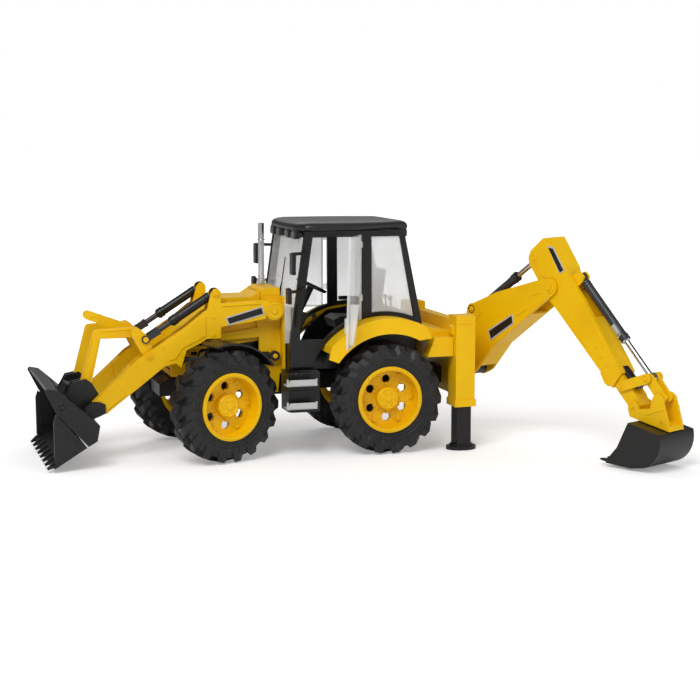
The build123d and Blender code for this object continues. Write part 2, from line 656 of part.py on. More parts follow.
# ---------------------------------------------------------------- loader bucket
bucket_back = [(281.3, 67.4), (273.4, 65.8), (243.0, 38.9), (240.0, 36.0), (242.4, 23.8), (249.5, 19.7)]
with BuildPart() as bucket:
    slab(bucket_back + [(251.0, 21.5), (244.6, 25.2), (242.6, 35.2), (244.8, 37.6), (274.3, 63.4),
                        (281.7, 65.0)], 0, BUCKET_HALF)
    slab(bucket_back + [(274.1, 47.5), (282.8, 65.1)], BUCKET_HALF - BUCKET_T, BUCKET_HALF)
    disc(CLAM_PIVOT, SMALL_PIN_R, BUCKET_HALF - 6, BUCKET_HALF - 1)
    # hinge plates for the arms and the links
    for y_in, y_out in ((ARM_IN + 0.3, ARM_IN + 3.7), (ARM_OUT + SIDE, ARM_OUT + 3.0)):
        slab([(231.5, 41.5), (235, 39.5), (242, 36.8), (248, 43), (248, 47), (241, 51), (236, 50.6),
              (231.5, 48.5)], y_in, y_out)
    slab([(231.5, 41.5), (243, 38), (262, 55.2), (256, 66), (245.2, 68.2), (240.4, 64.5), (232, 50)],
         ARM_IN + 0.3, ARM_IN + 3.7)
    slab([(243, 38), (262, 55.2), (256, 66), (245.2, 68.2), (240.4, 64.5), (240, 50)],
         LINK_OUT_Y - LINK_T - SIDE - 3, LINK_OUT_Y - LINK_T - SIDE)
    disc(BUCKET_PIVOT, SMALL_PIN_R, ARM_IN + 0.3, ARM_OUT + 3.0)
    disc(BUCKET_LINK, SMALL_PIN_R, LINK_OUT_Y - LINK_T - SIDE - 3, ARM_IN + 3.7)
    # the housing of the clam's rams, between the hinge plates
    slab([(247.5, 42), (262, 55.2), (259.5, 62.5), (252.5, 61.5), (245, 51)], 0, 13)
    # slots under the spill guard
    with BuildSketch(Plane.XY.offset(50)):
        for middle_y in SPILL_SLOTS:
            with Locations((267.5, middle_y)):
                Rectangle(5.0, 24)
    extrude(amount=20, mode=Mode.SUBTRACT)
    # ribs on the side plates
    slab([(250, 27), (253, 27), (271, 48.5), (269, 50.5)], BUCKET_HALF - 0.5, BUCKET_HALF + 0.8)
    both_sides()
keep(bucket, "bucket_back")

with BuildPart() as clam:
    gap = 0.35
    clam_side = [(251.2, 19.6), (274.6, 46.6), (276.6, 40.9), (276.4, 9), (275.2, 4.4), (269.9, 8.7)]
    slab([(250.6, 19.0), (270.2, 7.0), (276.3, 3.2), (278.6, 5.4), (270.6, 10.0), (252.6, 20.9)],
         0, BUCKET_HALF)
    slab(clam_side, BUCKET_HALF - BUCKET_T, BUCKET_HALF)
    # inner plates that reach the clam's hinge
    y_out = BUCKET_HALF - BUCKET_T - gap
    slab([(262, 17), (273, 22), (273.4, 53), (270, 56.4), (266, 54), (263.5, 40)], y_out - 2.2, y_out)
    slab([(262, 17), (273, 17), (273, 26), (263, 26)], y_out - 2.2, BUCKET_HALF - 0.1)
    disc(CLAM_PIVOT, SMALL_PIN_R + RUN, BUCKET_HALF - 8, BUCKET_HALF - BUCKET_T - gap + 0.1, Mode.SUBTRACT)
    both_sides()
    end_tooth = BUCKET_HALF - 5.5
    pitch = 2 * end_tooth / (TEETH - 1)
    for index in range(TEETH):
        middle = index * pitch - end_tooth
        with BuildSketch(side_plane(middle + 2.2)):
            outline([(273.5, 4.8), (281.6, 2.0), (282.0, 3.0), (277.5, 7.4), (273.5, 9.4)])
        extrude(amount=4.4)
keep(clam, "bucket_clam")

# ---------------------------------------------------------------- cab

def arc_point(radius, angle):
    """A point of the wheel arch, by its radius and its angle above forward."""
    return (radius * cos(radians(angle)), AXLE_Z + radius * sin(radians(angle)))


BAND_R = FENDER_R + BAND_T
with BuildPart() as cab_frame:
    for build_side in (1, -1):
        face = side_plane(CAB_HALF if build_side > 0 else CAB_SKIN - CAB_HALF)
        with BuildSketch(face):
            with BuildLine():
                low_front = arc_point(FENDER_R + 0.1, 24)
                rear_low = arc_point(FENDER_R + 0.1, 121)
                Polyline(low_front, (80, low_front[1]), (80.5, 95), (67.5, CAB_TOP), (-18.2, CAB_TOP),
                         rear_low)
                ThreePointArc(rear_low, arc_point(FENDER_R + 0.1, 70), low_front)
            make_face()
            # door opening
            with BuildLine():
                a = arc_point(BAND_R, 44)
                b = arc_point(BAND_R, 73)
                sill = a[1] + 0.3
                Polyline(a, (a[0] + 4, sill), (72.2, sill), (72.4, sill + 5), (61, CAB_TOP - RAIL),
                         (19, CAB_TOP - RAIL), (19, b[1]), b)
                ThreePointArc(b, arc_point(BAND_R, 58), a)
            make_face(mode=Mode.SUBTRACT)
            # quarter window
            with BuildLine():
                c = arc_point(BAND_R, 82)
                d = arc_point(BAND_R, 113)
                Polyline(c, (10.3, CAB_TOP - RAIL), (-14.6, CAB_TOP - RAIL), (d[0] + 1.1, d[1] + 4.7), d)
                ThreePointArc(d, arc_point(BAND_R, 97), c)
            make_face(mode=Mode.SUBTRACT)
        extrude(amount=CAB_SKIN)
    inside = CAB_HALF - CAB_SKIN + 0.5
    for points in ([(61.5, CAB_TOP - RAIL), (67, CAB_TOP - RAIL), (66.4, CAB_TOP), (60.9, CAB_TOP)],
                   [(-17, CAB_TOP - 4), (-11, CAB_TOP - 4), (-11, CAB_TOP), (-18, CAB_TOP)],
                   [(73, 92), (79.3, 92), (78.6, 104), (73, 104)],
                   [(-34, 108.3), (-30, 108.3), (-29, 113.5), (-33, 113.5)]):
        slab(points, -inside, inside)
keep(cab_frame, "cab_frame")

with BuildPart() as cab_floor:
    slab([(-33, FLOOR_Z - FLOOR_T), (79, FLOOR_Z - FLOOR_T), (79, FLOOR_Z), (-33, FLOOR_Z)], -43.5, 43.5)
    slab([(-33, FLOOR_Z - 1), (-33, 108), (-29.5, 108), (-29.5, FLOOR_Z - 1)], -43.5, 43.5)
    slab([(75, FLOOR_Z - 1), (79, FLOOR_Z - 1), (79, 91.8), (75, 91.8)], -43.5, 43.5)
    # frame bearers
    slab([(-20, FRAME_TOP), (70, FRAME_TOP), (70, FLOOR_Z), (-20, FLOOR_Z)], -10, 10)
    # inner wheel arches
    slab([(-30, FLOOR_Z), (50, FLOOR_Z), (40, 96), (22, 110.5), (0, 114), (-22, 110.5), (-30, 107.5)],
         41.5, 43.5)
    both_sides()
keep(cab_floor, "cab_floor")

PILLAR = ((74.5, 95.0), (65.0, CAB_TOP))     # middle of the front pillar, x and z at both ends
MIRRORS = (
    # foot below the roof, middle of the head ahead of the foot, out from the cab and below the foot,
    # height of the head
    (17.4, 14.0, 10.5, 8.1, 17.0),
    (48.5, 13.6, 8.0, 3.5, 12.0),
)
POD_H = 6.8
LENS_H = 5.0


def lamp_pod(middle_y, back, front, lens_back, lens_front):
    """A lamp's pod under the roof, with a recess for its lens."""
    slab([(back, CAB_TOP - POD_H), (front, CAB_TOP - POD_H), (front, CAB_TOP + 1), (back, CAB_TOP + 1)],
         middle_y - 5, middle_y + 5)
    slab([(lens_back, CAB_TOP - 1 - LENS_H), (lens_front, CAB_TOP - 1 - LENS_H), (lens_front, CAB_TOP - 1),
          (lens_back, CAB_TOP - 1)], middle_y - 4.2, middle_y + 4.2, Mode.SUBTRACT)


def lamp_lens(middle_y, back, front):
    """The lens of a lamp, seated in its pod's recess."""
    slab([(back, CAB_TOP - 0.9 - LENS_H), (front, CAB_TOP - 0.9 - LENS_H), (front, CAB_TOP - 1.1),
          (back, CAB_TOP - 1.1)], middle_y - 4.1, middle_y + 4.1)


with BuildPart() as roof:
    with BuildSketch(Plane.XY.offset(CAB_TOP + 0.05)):
        with BuildLine():
            half_roof = [(-27.5, CAB_HALF - 16), (-24, CAB_HALF - 12), (13, CAB_HALF + 1), (64, CAB_HALF + 1),
                         (70, CAB_HALF - 5), (74, CAB_HALF - 16)]
            other_half = [(x, -y) for x, y in reversed(half_roof)]
            Polyline(*half_roof, *other_half, close=True)
        make_face()
    extrude(amount=ROOF_T - 0.05)
    top = roof.faces().sort_by(Axis.Z)[-1]
    chamfer(top.edges(), 3.0)
    for build_side in (1, -1):
        for row in LAMP_ROWS:
            lamp_pod(build_side * row, 68.2, 73.4, 72.4, 73.4)
        lamp_pod(build_side * REAR_LAMP_Y, -26.4, -20.8, -26.4, -25.4)
keep(roof, "roof")

with BuildPart() as lamps:
    for row in LAMP_ROWS:
        lamp_lens(row, 72.42, 73.8)
    lamp_lens(REAR_LAMP_Y, -26.8, -25.42)
    both_sides()
keep(lamps, "lamps")

with BuildPart() as mirrors:
    for below_roof, ahead, head_out, below_foot, tall in MIRRORS:
        foot_z = CAB_TOP - below_roof
        share = (foot_z - PILLAR[0][1]) / (PILLAR[1][1] - PILLAR[0][1])
        foot_x = PILLAR[0][0] + share * (PILLAR[1][0] - PILLAR[0][0])
        head_x = foot_x + ahead
        head_y = CAB_HALF + head_out
        head_z = foot_z - below_foot
        slab([(foot_x - 2.4, foot_z - 2.4), (foot_x + 2.4, foot_z - 2.4), (foot_x + 2.4, foot_z + 2.4),
              (foot_x - 2.4, foot_z + 2.4)], CAB_HALF + 0.02, CAB_HALF + 2)
        with BuildSketch(Plane.XY.offset(foot_z - 1.2)) as stay:
            with BuildSketch(mode=Mode.PRIVATE) as ends:
                for place in ((foot_x, CAB_HALF + 1.3), (head_x, head_y)):
                    with Locations(place):
                        Circle(1.2)
            make_hull(ends.edges())
        extrude(stay.sketch, amount=2.4)
        with BuildSketch(Plane.XY.offset(head_z - tall / 2)) as head:
            with Locations((head_x, head_y)):
                RectangleRounded(3.2, 10.5, 1.4)
        extrude(head.sketch, amount=tall)
    both_sides()
keep(mirrors, "mirrors")

with BuildPart() as cab_windows:
    half = CAB_HALF - 4
    # windscreen and rear window
    slab([(78.9, 104.2), (77.6, 104.2), (66.2, CAB_TOP - 5.2), (67.4, CAB_TOP - 5.2)], 0, half)
    slab([(-32.8, 113.8), (-31.6, 113.8), (-17.6, CAB_TOP - 4.2), (-18.8, CAB_TOP - 4.2)], 0, half)
    # quarter windows, over the wheel arches
    with BuildSketch(side_plane(CAB_HALF - 1)):
        with BuildLine():
            c = arc_point(BAND_R + 0.3, 82.2)
            d = arc_point(BAND_R + 0.3, 112)
            Polyline(c, (10.0, CAB_TOP - RAIL - SIDE), (-14.2, CAB_TOP - RAIL - SIDE),
                     (d[0] + 0.7, d[1] + 4.3), d)
            ThreePointArc(d, arc_point(BAND_R + 0.3, 97), c)
        make_face()
    extrude(amount=GLASS_T)
    both_sides()
keep(cab_windows, "cab_windows")


def door_low(reach):
    """Height of the door's lower edge, which clears the wheel arch, at a reach from the hinge."""
    return AXLE_Z + sqrt((FENDER_R + DOOR_GAP) ** 2 - (DOOR_HINGE[0] + reach) ** 2)


def make_door(side, name, angle):
    """A clear moulded door, hinged at the middle pillar."""
    hinge = Vector(DOOR_HINGE[0], side * DOOR_HINGE[1], 0)
    turn = -side * radians(angle)
    # the door's own plane: its sketch x runs from the hinge to the free edge
    ahead = (cos(turn), -sin(turn), 0)
    normal = (ahead[1], -ahead[0], 0)
    plane = Plane(origin=hinge, x_dir=ahead, z_dir=normal)
    with BuildPart() as door:
        with BuildSketch(plane.offset(-GLASS_T / 2)):
            with BuildLine():
                crown = AXLE_Z + FENDER_R - 2.3
                low_edge = [(reach, door_low(reach)) for reach in (24, 30, 35, 38)]
                Polyline((2, crown), (FENDER_OUT_Y - DOOR_HINGE[1] + 2, crown), *low_edge,
                         (51.5, 93), (52, 97),
                         (41, CAB_TOP - 3), (2, CAB_TOP - 3), close=True)
            make_face()
        extrude(amount=GLASS_T)
        # hinge knuckles
        for z in (CAB_TOP - 58, CAB_TOP - 14):
            with BuildSketch(Plane(origin=hinge + Vector(0, 0, z), x_dir=ahead, z_dir=(0, 0, 1))):
                Circle(1.5)
                with Locations((1.8, 0)):
                    Rectangle(2.4, GLASS_T)
            extrude(amount=5)
        # pull handle
        with BuildSketch(plane.offset(side * (GLASS_T / 2 + 1.4) - 1.4)):
            with Locations((43, 112)):
                Rectangle(5, 12)
        extrude(amount=2.8)
    keep(door, f"door_{name}")


make_door(1, "left", DOOR_REST)
make_door(-1, "right", 0.0)

with BuildPart() as fenders:
    for y_in, y_out, inner in ((FENDER_OUT_Y - 2, FENDER_OUT_Y, FENDER_IN_R),
                               (FENDER_IN_Y, FENDER_OUT_Y - 1, FENDER_R - 2.5)):
        with BuildSketch(side_plane(y_out)):
            with BuildLine():
                tail = arc_point(FENDER_R - 6, 126)
                nose = arc_point(FENDER_R - 4.5, 34)
                if inner == FENDER_IN_R:
                    start, stop = arc_point(inner, 36), arc_point(inner, 118)
                    crown0, crown1 = arc_point(FENDER_R, 42), arc_point(FENDER_R, 118)
                    ThreePointArc(start, arc_point(inner, 77), stop)
                    Polyline(stop, tail, crown1)
                    ThreePointArc(crown1, arc_point(FENDER_R, 80), crown0)
                    Polyline(crown0, nose, start)
                else:
                    start, stop = arc_point(inner, 38), arc_point(inner, 121)
                    crown0, crown1 = arc_point(FENDER_R, 42), arc_point(FENDER_R, 118)
                    ThreePointArc(start, arc_point(inner, 77), stop)
                    Line(stop, crown1)
                    ThreePointArc(crown1, arc_point(FENDER_R, 80), crown0)
                    Line(crown0, start)
            make_face()
        extrude(amount=y_out - y_in)
    both_sides()
keep(fenders, "fenders")

TREADS = (42.0, 61.0)
with BuildPart() as steps:
    slab([(57.5, 38), (84, 38), (84, 71), (57.5, 71)], 36, 60)
    slab([(62, 52), (76, 52), (76, 60), (62, 60)], FRAME_HALF + 0.05, 37)
    for low in TREADS:
        slab([(60, low - 3), (84, low - 3), (84, low), (60, low)], 59, 68)
    both_sides()
keep(steps, "side_boxes")

with BuildPart() as treads:
    for low in TREADS:
        low += 0.05
        slab([(62.8, low), (88.5, low), (88.5, low + 1.2), (62.8, low + 1.2)], 61, 71.5)
        slab([(62.8, low), (88.5, low), (88.5, low + 6), (87.3, low + 6), (86.6, low + 3), (64.7, low + 3),
              (64, low + 6), (62.8, low + 6)], 70, 71.5)
    both_sides()
keep(treads, "step_treads")

with BuildPart() as seat:
    slab([(2, FLOOR_Z), (20, FLOOR_Z), (20, 101), (2, 101)], -9, 9)
    slab([(-6, 101), (30, 101), (32, 108), (26, 111), (2, 109), (-9, 150), (-15, 150), (-8, 103)], -15, 15)
keep(seat, "seat")

COLUMN = 26.0
column = Plane(origin=(60, 0, 112), x_dir=(0, 1, 0), z_dir=(-0.45, 0, 0.9))
with BuildPart() as console:
    slab([(62, FLOOR_Z), (72.7, FLOOR_Z), (72.7, 112), (66, 118), (54, 114), (62, 100)], -16, 16)
    with BuildSketch(column):
        Circle(3)
    extrude(amount=COLUMN)
keep(console, "console")

with BuildPart() as steering_wheel:
    with BuildSketch(column.offset(COLUMN + 0.3)):
        Circle(14)
        Circle(11.8, mode=Mode.SUBTRACT)
        for angle in (90, 210, 330):
            with PolarLocations(6.5, 1, start_angle=angle):
                Rectangle(12, 2.4)
        Circle(4)
    extrude(amount=2.4)
keep(steering_wheel, "steering_wheel")

EXHAUST = (HOOD_REAR + COWL_LENGTH / 2 - 1.6, -15)
with BuildPart() as exhaust:
    with BuildSketch(Plane.XY.offset(HOOD_TOP + 0.02)):
        with Locations(EXHAUST):
            Circle(3.6)
    extrude(amount=5)
    with BuildSketch(Plane.XY.offset(HOOD_TOP + 1)):
        with Locations(EXHAUST):
            Circle(2.6)
    extrude(amount=189 - HOOD_TOP)
    with BuildSketch(Plane.XY.offset(182)):
        with Locations(EXHAUST):
            Circle(1.8)
    extrude(amount=10, mode=Mode.SUBTRACT)
keep(exhaust, "exhaust")

# ---------------------------------------------------------------- rear frame
with BuildPart() as rear_frame:
    slab([(-69.5, 44), (-75.2, 44), (-75.2, 52), (-69.5, 52)], 0, 53)
    slab([(-69.5, 100), (-75.2, 100), (-75.2, 108), (-69.5, 108)], 0, 53)
    slab([(-66, 44), (-69.6, 44), (-69.6, 108), (-66, 108)], 0, 52.8)
    # the sloping deck behind the cab
    slab([(-34, 96), (-34, 105), (-66.1, 98), (-66.1, 90)], 0, 52.8)
    slab([(-35, 80), (-57.6, 80), (-57.6, 96), (-41, 96)], 52, 66)
    both_sides()
keep(rear_frame, "rear_frame")


with BuildPart() as housings:
    with BuildSketch(Plane.XY.offset(HOUSING_LOW)):
        with Locations((LEG_X, LEG_Y)):
            Rectangle(*HOUSING)
            Rectangle(LEG[0] + 2 * SIDE, LEG[1] + 2 * SIDE, mode=Mode.SUBTRACT)
    extrude(amount=HOUSING_TOP - HOUSING_LOW - 2)
    with BuildSketch(Plane.XY.offset(HOUSING_TOP - 2)):
        with Locations((LEG_X, LEG_Y)):
            Rectangle(*HOUSING)
    extrude(amount=2)
    # the collar at its mouth, and the catch on its front
    with BuildSketch(Plane.XY.offset(HOUSING_LOW)):
        with Locations((LEG_X, LEG_Y)):
            Rectangle(HOUSING[0] + 1.8, HOUSING[1] + 1.8)
            Rectangle(LEG[0] + 2 * SIDE, LEG[1] + 2 * SIDE, mode=Mode.SUBTRACT)
    extrude(amount=6)
    slab([(-58.2, 106), (-56.2, 105), (-56.2, 99), (-58.2, 97.5)], 59, 66)
    both_sides()
keep(housings, "leg_housings")

for name, side in (("left", 1), ("right", -1)):
    with BuildPart() as leg:
        with BuildSketch(Plane.XY.offset(FOOT_T)):
            with Locations((LEG_X, side * LEG_Y)):
                Rectangle(*LEG)
        extrude(amount=72)
        with BuildSketch(Plane.XY):
            with Locations((LEG_X, side * LEG_Y)):
                Ellipse(13, 10)
        extrude(amount=FOOT_T)
        with BuildSketch(Plane.XY.offset(FOOT_T - 0.5)):
            with Locations((LEG_X, side * LEG_Y)):
                Ellipse(10, 8.6)
        extrude(amount=2)
    keep(leg, f"stabiliser_leg_{name}")

# ---------------------------------------------------------------- carriage and kingpost
with BuildPart() as carriage:
    slab([(CARRIAGE_X, 46), (CARRIAGE_X - CARRIAGE_T, 46), (CARRIAGE_X - CARRIAGE_T, 102), (CARRIAGE_X, 102)],
         -CARRIAGE_HALF, CARRIAGE_HALF)
    for low in (POST_LOW - SIDE - LUG_T, POST_TOP + SIDE):
        with BuildSketch(Plane.XY.offset(low)):
            with Locations((POST_X, 0)):
                Circle(8)
            with Locations(((POST_X + CARRIAGE_X - 1) / 2, 0)):
                Rectangle(abs(POST_X - CARRIAGE_X) - 1, 10)
            with Locations((POST_X, 0)):
                Circle(PIN_R + RUN, mode=Mode.SUBTRACT)
        extrude(amount=LUG_T)
keep(carriage, "carriage")

middle = hoe_plane(0)
with BuildPart() as kingpost:
    with BuildSketch(Plane.XY.offset(POST_LOW)):
        with Locations((POST_X, 0)):
            Circle(POST_R)
    extrude(amount=POST_TOP - POST_LOW)
    with BuildSketch(Plane.XY.offset(POST_LOW - LUG_T)):
        with Locations((POST_X, 0)):
            Circle(PIN_R)
    extrude(amount=POST_TOP - POST_LOW + 2 * LUG_T)
    # tongue for the boom's foot, and the lug of the boom ram
    tongue = BOOM_HALF - BOOM_PLATE - SIDE
    with BuildSketch(hoe_plane(-tongue)):
        outline([(0, 54), (14, 56), (20, 62), (14, 68), (0, 70)])
        with Locations(BOOM_FOOT):
            Circle(6)
    extrude(amount=2 * tongue)
    add_pin(middle, BOOM_FOOT, PIN_R, -BOOM_HALF, BOOM_HALF)
    for edge in (EYE_HALF + SIDE, -EYE_HALF - SIDE - 2):
        with BuildSketch(hoe_plane(edge)):
            outline([(0, 84), (13, 86), (13, 94), (0, 95)])
            with Locations(BOOM_RAM_BASE):
                Circle(4)
        extrude(amount=2)
    add_pin(middle, BOOM_RAM_BASE, SMALL_PIN_R, -EYE_HALF - 2, EYE_HALF + 2)
keep(kingpost, "kingpost")

# ---------------------------------------------------------------- boom
boom_low = [(25.9, 60.4), (46.2, 85.2), (104.7, 129.3)]
with BuildPart() as boom:
    for edge in (BOOM_HALF - BOOM_PLATE, -BOOM_HALF):
        with BuildSketch(hoe_plane(edge)):
            outline([(8, 64), (14.5, 115), (17, 119), (21, 119.6), (47.7, 131), (99, 146), (104, 146),
                     (112, 142),
                     (112, 136), (104.7, 129.3), (46.2, 85.2), (25.9, 60.4), (20, 57), (14, 55)])
            with Locations(BOOM_FOOT):
                Circle(7)
            with Locations(BOOM_HEAD):
                Circle(7)
            with Locations(DIP_RAM_BASE):
                Circle(5)
            with Locations(BOOM_FOOT):
                Circle(PIN_R + RUN, mode=Mode.SUBTRACT)
        extrude(amount=BOOM_PLATE)
    inner = BOOM_HALF - BOOM_PLATE
    # the web along the lower edge
    with BuildSketch(hoe_plane(-inner - 0.5)):
        outline([(30.2, 65.4), (46.6, 85.4), (86, 115.1), (84.8, 116.7), (45.2, 87), (28.6, 66.7)])
    extrude(amount=2 * inner + 1)
    add_pin(middle, BOOM_HEAD, PIN_R, -BOOM_HALF - 1, BOOM_HALF + 1)
    for low in (-BOOM_HALF - 0.8, BOOM_HALF - 0.5):
        add_pin(middle, BOOM_HEAD, PIN_R + 2, low, low + 1.3)
    add_pin(middle, DIP_RAM_BASE, SMALL_PIN_R, -BOOM_HALF, BOOM_HALF)
    add_stubs(middle, BOOM_RAM_EYE, SMALL_PIN_R, BOOM_HALF)
keep(boom, "boom")

for label, base, tip, length, start in (("boom_ram", BOOM_RAM_BASE, BOOM_RAM_EYE, 40.0, 18.0),
                                        ("dipper_ram", DIP_RAM_BASE, DIP_RAM_EYE, 52.0, 20.0)):
    with BuildPart() as barrel:
        add_barrel(middle, base, tip, length, SMALL_PIN_R)
    keep(barrel, f"{label}_barrel")
    with BuildPart() as rod:
        add_rod(middle, base, tip, start)
    keep(rod, f"{label}_rod")


# ---------------------------------------------------------------- dipper
def dip_plane(across):
    """Plane on the dipper: its sketch x runs down the dipper, its y up across it."""
    base = hoe_plane(across)
    origin = base.from_local_coords(Vector(BOOM_HEAD[0], BOOM_HEAD[1], 0))
    tip = base.from_local_coords(Vector(*dip_point(1, 0), 0))
    return Plane(origin=origin, x_dir=tip - origin, z_dir=base.z_dir)


with BuildPart() as dipper:
    with BuildSketch(dip_plane(-DIP_HALF)):
        outline([(-36, 20), (-37, 3), (-34, -3), (-29.7, -5.5), (5, -10), (14, -9), (DIP_END, EXT_LOW - 1.9),
                 (DIP_END - 3, EXT_HIGH + 1.9), (88, 10.5), (30, 18.6), (16, 19.3), (5, 19.3), (-2, 22.5),
                 (-31, 27)])
    extrude(amount=2 * DIP_HALF)
    # hollow for the extension, and the slot for the ears it carries
    with BuildSketch(dip_plane(-DIP_HALF + DIP_WALL)):
        outline([(EXT_START - SIDE, EXT_LOW - SIDE), (DIP_END + 5, EXT_LOW - SIDE),
                 (DIP_END + 5, EXT_HIGH + SIDE), (EXT_START - SIDE, EXT_HIGH + SIDE)])
    extrude(amount=2 * (DIP_HALF - DIP_WALL), mode=Mode.SUBTRACT)
    slot_half = EYE_HALF + SIDE + EAR_T + SIDE
    with BuildSketch(dip_plane(-slot_half)):
        outline([(EXT_START - SIDE, 0), (EAR_END + EXT_STROKE + SIDE, 0), (EAR_END + EXT_STROKE + SIDE, 40),
                 (EXT_START - SIDE, 40)])
    extrude(amount=2 * slot_half, mode=Mode.SUBTRACT)
    # slot in the tail for the ram's eye
    with BuildSketch(dip_plane(-BARREL_R - 1.2)):
        outline([(-45, -20), (-10, -20), (-12, 10), (-22, 17), (-45, 18)])
    extrude(amount=2 * BARREL_R + 2.4, mode=Mode.SUBTRACT)
    add_stubs(middle, DIP_RAM_EYE, SMALL_PIN_R, DIP_HALF)
    with BuildSketch(dip_plane(-DIP_HALF)):
        Circle(PIN_R + RUN)
    extrude(amount=2 * DIP_HALF, mode=Mode.SUBTRACT)
    # flange under its end, and stiffening ribs on both sides
    with BuildSketch(dip_plane(-DIP_HALF)):
        outline([(84, -7), (97, -6.9), (97, -9.3), (93, -10.6), (84, -8.4)])
    extrude(amount=2 * DIP_HALF)
    for low in (DIP_HALF - 0.3, -DIP_HALF - 0.5):
        with BuildSketch(dip_plane(low)):
            outline([(38, -8.0), (92, -6.6), (92, -4.6), (38, -6.0)])
            outline([(44, 9.0), (70, 6.4), (70, 8.8), (44, 12.2)])
        extrude(amount=0.8)
keep(dipper, "dipper")

dip_middle = dip_plane(0)

with BuildPart() as extension:
    half = DIP_HALF - DIP_WALL - SIDE
    with BuildSketch(dip_plane(-half)):
        outline([(EXT_START, EXT_LOW), (HOE_PIVOT[0] - 6, EXT_LOW), (HOE_PIVOT[0] + 4, -4),
                 (HOE_PIVOT[0] + 5, 0),
                 (HOE_PIVOT[0] + 3, 4), (HOE_PIVOT[0] - 6, EXT_HIGH), (EXT_START, EXT_HIGH)])
        with Locations(HOE_PIVOT, LEVER_PIVOT):
            Circle(SMALL_PIN_R + RUN, mode=Mode.SUBTRACT)
    extrude(amount=2 * half)
    # ears for the bucket ram, which travels with the extension
    for edge in (EYE_HALF + SIDE, -EYE_HALF - SIDE - EAR_T):
        with BuildSketch(dip_plane(edge)):
            outline([(EXT_START, EXT_HIGH - 1), (EXT_START, 22), (7.5, 28), (13, 28), (EAR_END, 24),
                     (EAR_END, EXT_HIGH - 1)])
        extrude(amount=EAR_T)
    add_pin(dip_middle, BUCKET_RAM_BASE, SMALL_PIN_R, -EYE_HALF - 1, EYE_HALF + 1)
keep(extension, "dipper_extension")

with BuildPart() as bucket_barrel:
    add_barrel(dip_middle, BUCKET_RAM_BASE, BUCKET_RAM_EYE, 66.0, SMALL_PIN_R)
keep(bucket_barrel, "bucket_ram_barrel")
with BuildPart() as bucket_rod:
    add_rod(dip_middle, BUCKET_RAM_BASE, BUCKET_RAM_EYE, 21.0)
keep(bucket_rod, "bucket_ram_rod")

# the tipping levers run from the extension to the rod's eye
with BuildPart() as lever:
    half = DIP_HALF - DIP_WALL
    for edge in (half, -half - 2.2):
        with BuildSketch(dip_plane(edge)):
            with BuildSketch(mode=Mode.PRIVATE) as lever_outline:
                with Locations(LEVER_PIVOT):
                    Circle(4)
                with Locations(BUCKET_RAM_EYE):
                    Circle(4)
            make_hull(lever_outline.edges())
        extrude(amount=2.2)
    add_pin(dip_middle, LEVER_PIVOT, SMALL_PIN_R, -half - 2.2, half + 2.2)
    add_stubs(dip_middle, BUCKET_RAM_EYE, SMALL_PIN_R, half + 2.2)
keep(lever, "tipping_lever")

with BuildPart() as hoe_link:
    for edge in (STUB_GAP, -STUB_GAP - LINK_PLATE):
        with BuildSketch(dip_plane(edge)):
            with BuildSketch(mode=Mode.PRIVATE) as link_outline:
                with Locations(BUCKET_RAM_EYE):
                    Circle(4)
                with Locations(HOE_LINK):
                    Circle(4)
            make_hull(link_outline.edges())
            with Locations(BUCKET_RAM_EYE, HOE_LINK):
                Circle(SMALL_PIN_R + RUN, mode=Mode.SUBTRACT)
        extrude(amount=LINK_PLATE)
keep(hoe_link, "hoe_bucket_link")

# ---------------------------------------------------------------- backhoe bucket
with BuildPart() as hitch:
    pivot = dip_point(*HOE_PIVOT)
    link_pin = dip_point(*HOE_LINK)
    inner = DIP_HALF - DIP_WALL + SIDE
    for edge in (inner, -inner - 2.5):
        with BuildSketch(hoe_plane(edge)):
            outline([(189, 40.6), (227, 32.9), (225, 41), (219.3, 59), (214.8, 62), (210.4, 59),
                     (208.5, 49.5),
                     (197, 47.5), (195, 52.5), (191, 54), (187, 51), (187, 46)])
        extrude(amount=2.5)
    with BuildSketch(hoe_plane(-inner - 1)):
        outline([(189, 40.6), (227, 32.9), (226.5, 36.4), (190, 43.8)])
    extrude(amount=2 * inner + 2)
    for point in (pivot, link_pin):
        add_pin(middle, point, SMALL_PIN_R, -inner - 2.5, inner + 2.5)
keep(hitch, "quick_hitch")

HOE_MOUTH = (196.9, 38.2)
HOE_HEEL = (227.5, 32.0)
HOE_SOLE = (213.5, 3.9)
HOE_LIP = [(200.3, 1.8), (176, 3.0)]


def hoe_back():
    """The bucket's outer line, from its mouth over the back to the lip."""
    Line(HOE_MOUTH, HOE_HEEL)
    ThreePointArc(HOE_HEEL, (225.4, 14.4), HOE_SOLE)
    Polyline(HOE_SOLE, *HOE_LIP)


with BuildPart() as hoe_bucket:
    with BuildSketch(hoe_plane(-HOE_HALF)) as shell:
        with BuildLine() as loop:
            hoe_back()
            Polyline(HOE_LIP[-1], (176, 5.0), (200.2, 3.8), (212.8, 5.9))
            ThreePointArc((212.8, 5.9), (223.5, 15.4), (225.5, 30.6))
            Polyline((225.5, 30.6), (197.5, 36.2), HOE_MOUTH)
        make_face(loop.edges())
    extrude(shell.sketch, amount=2 * HOE_HALF)
    for edge in (HOE_HALF - HOE_T, -HOE_HALF):
        with BuildSketch(hoe_plane(edge)) as cheek:
            with BuildLine() as loop:
                hoe_back()
                Polyline(HOE_LIP[-1], (178, 7.0), (186.8, 17), HOE_MOUTH)
            make_face(loop.edges())
        extrude(cheek.sketch, amount=HOE_T)
    for index in range(5):
        middle_n = -HOE_HALF + 2.5 + index * (2 * HOE_HALF - 5) / 4
        with BuildSketch(hoe_plane(middle_n - 1.6)):
            outline([(179, 2.6), (168.8, 4.4), (168.6, 5.4), (179, 6.6)])
        extrude(amount=3.2)
keep(hoe_bucket, "hoe_bucket")
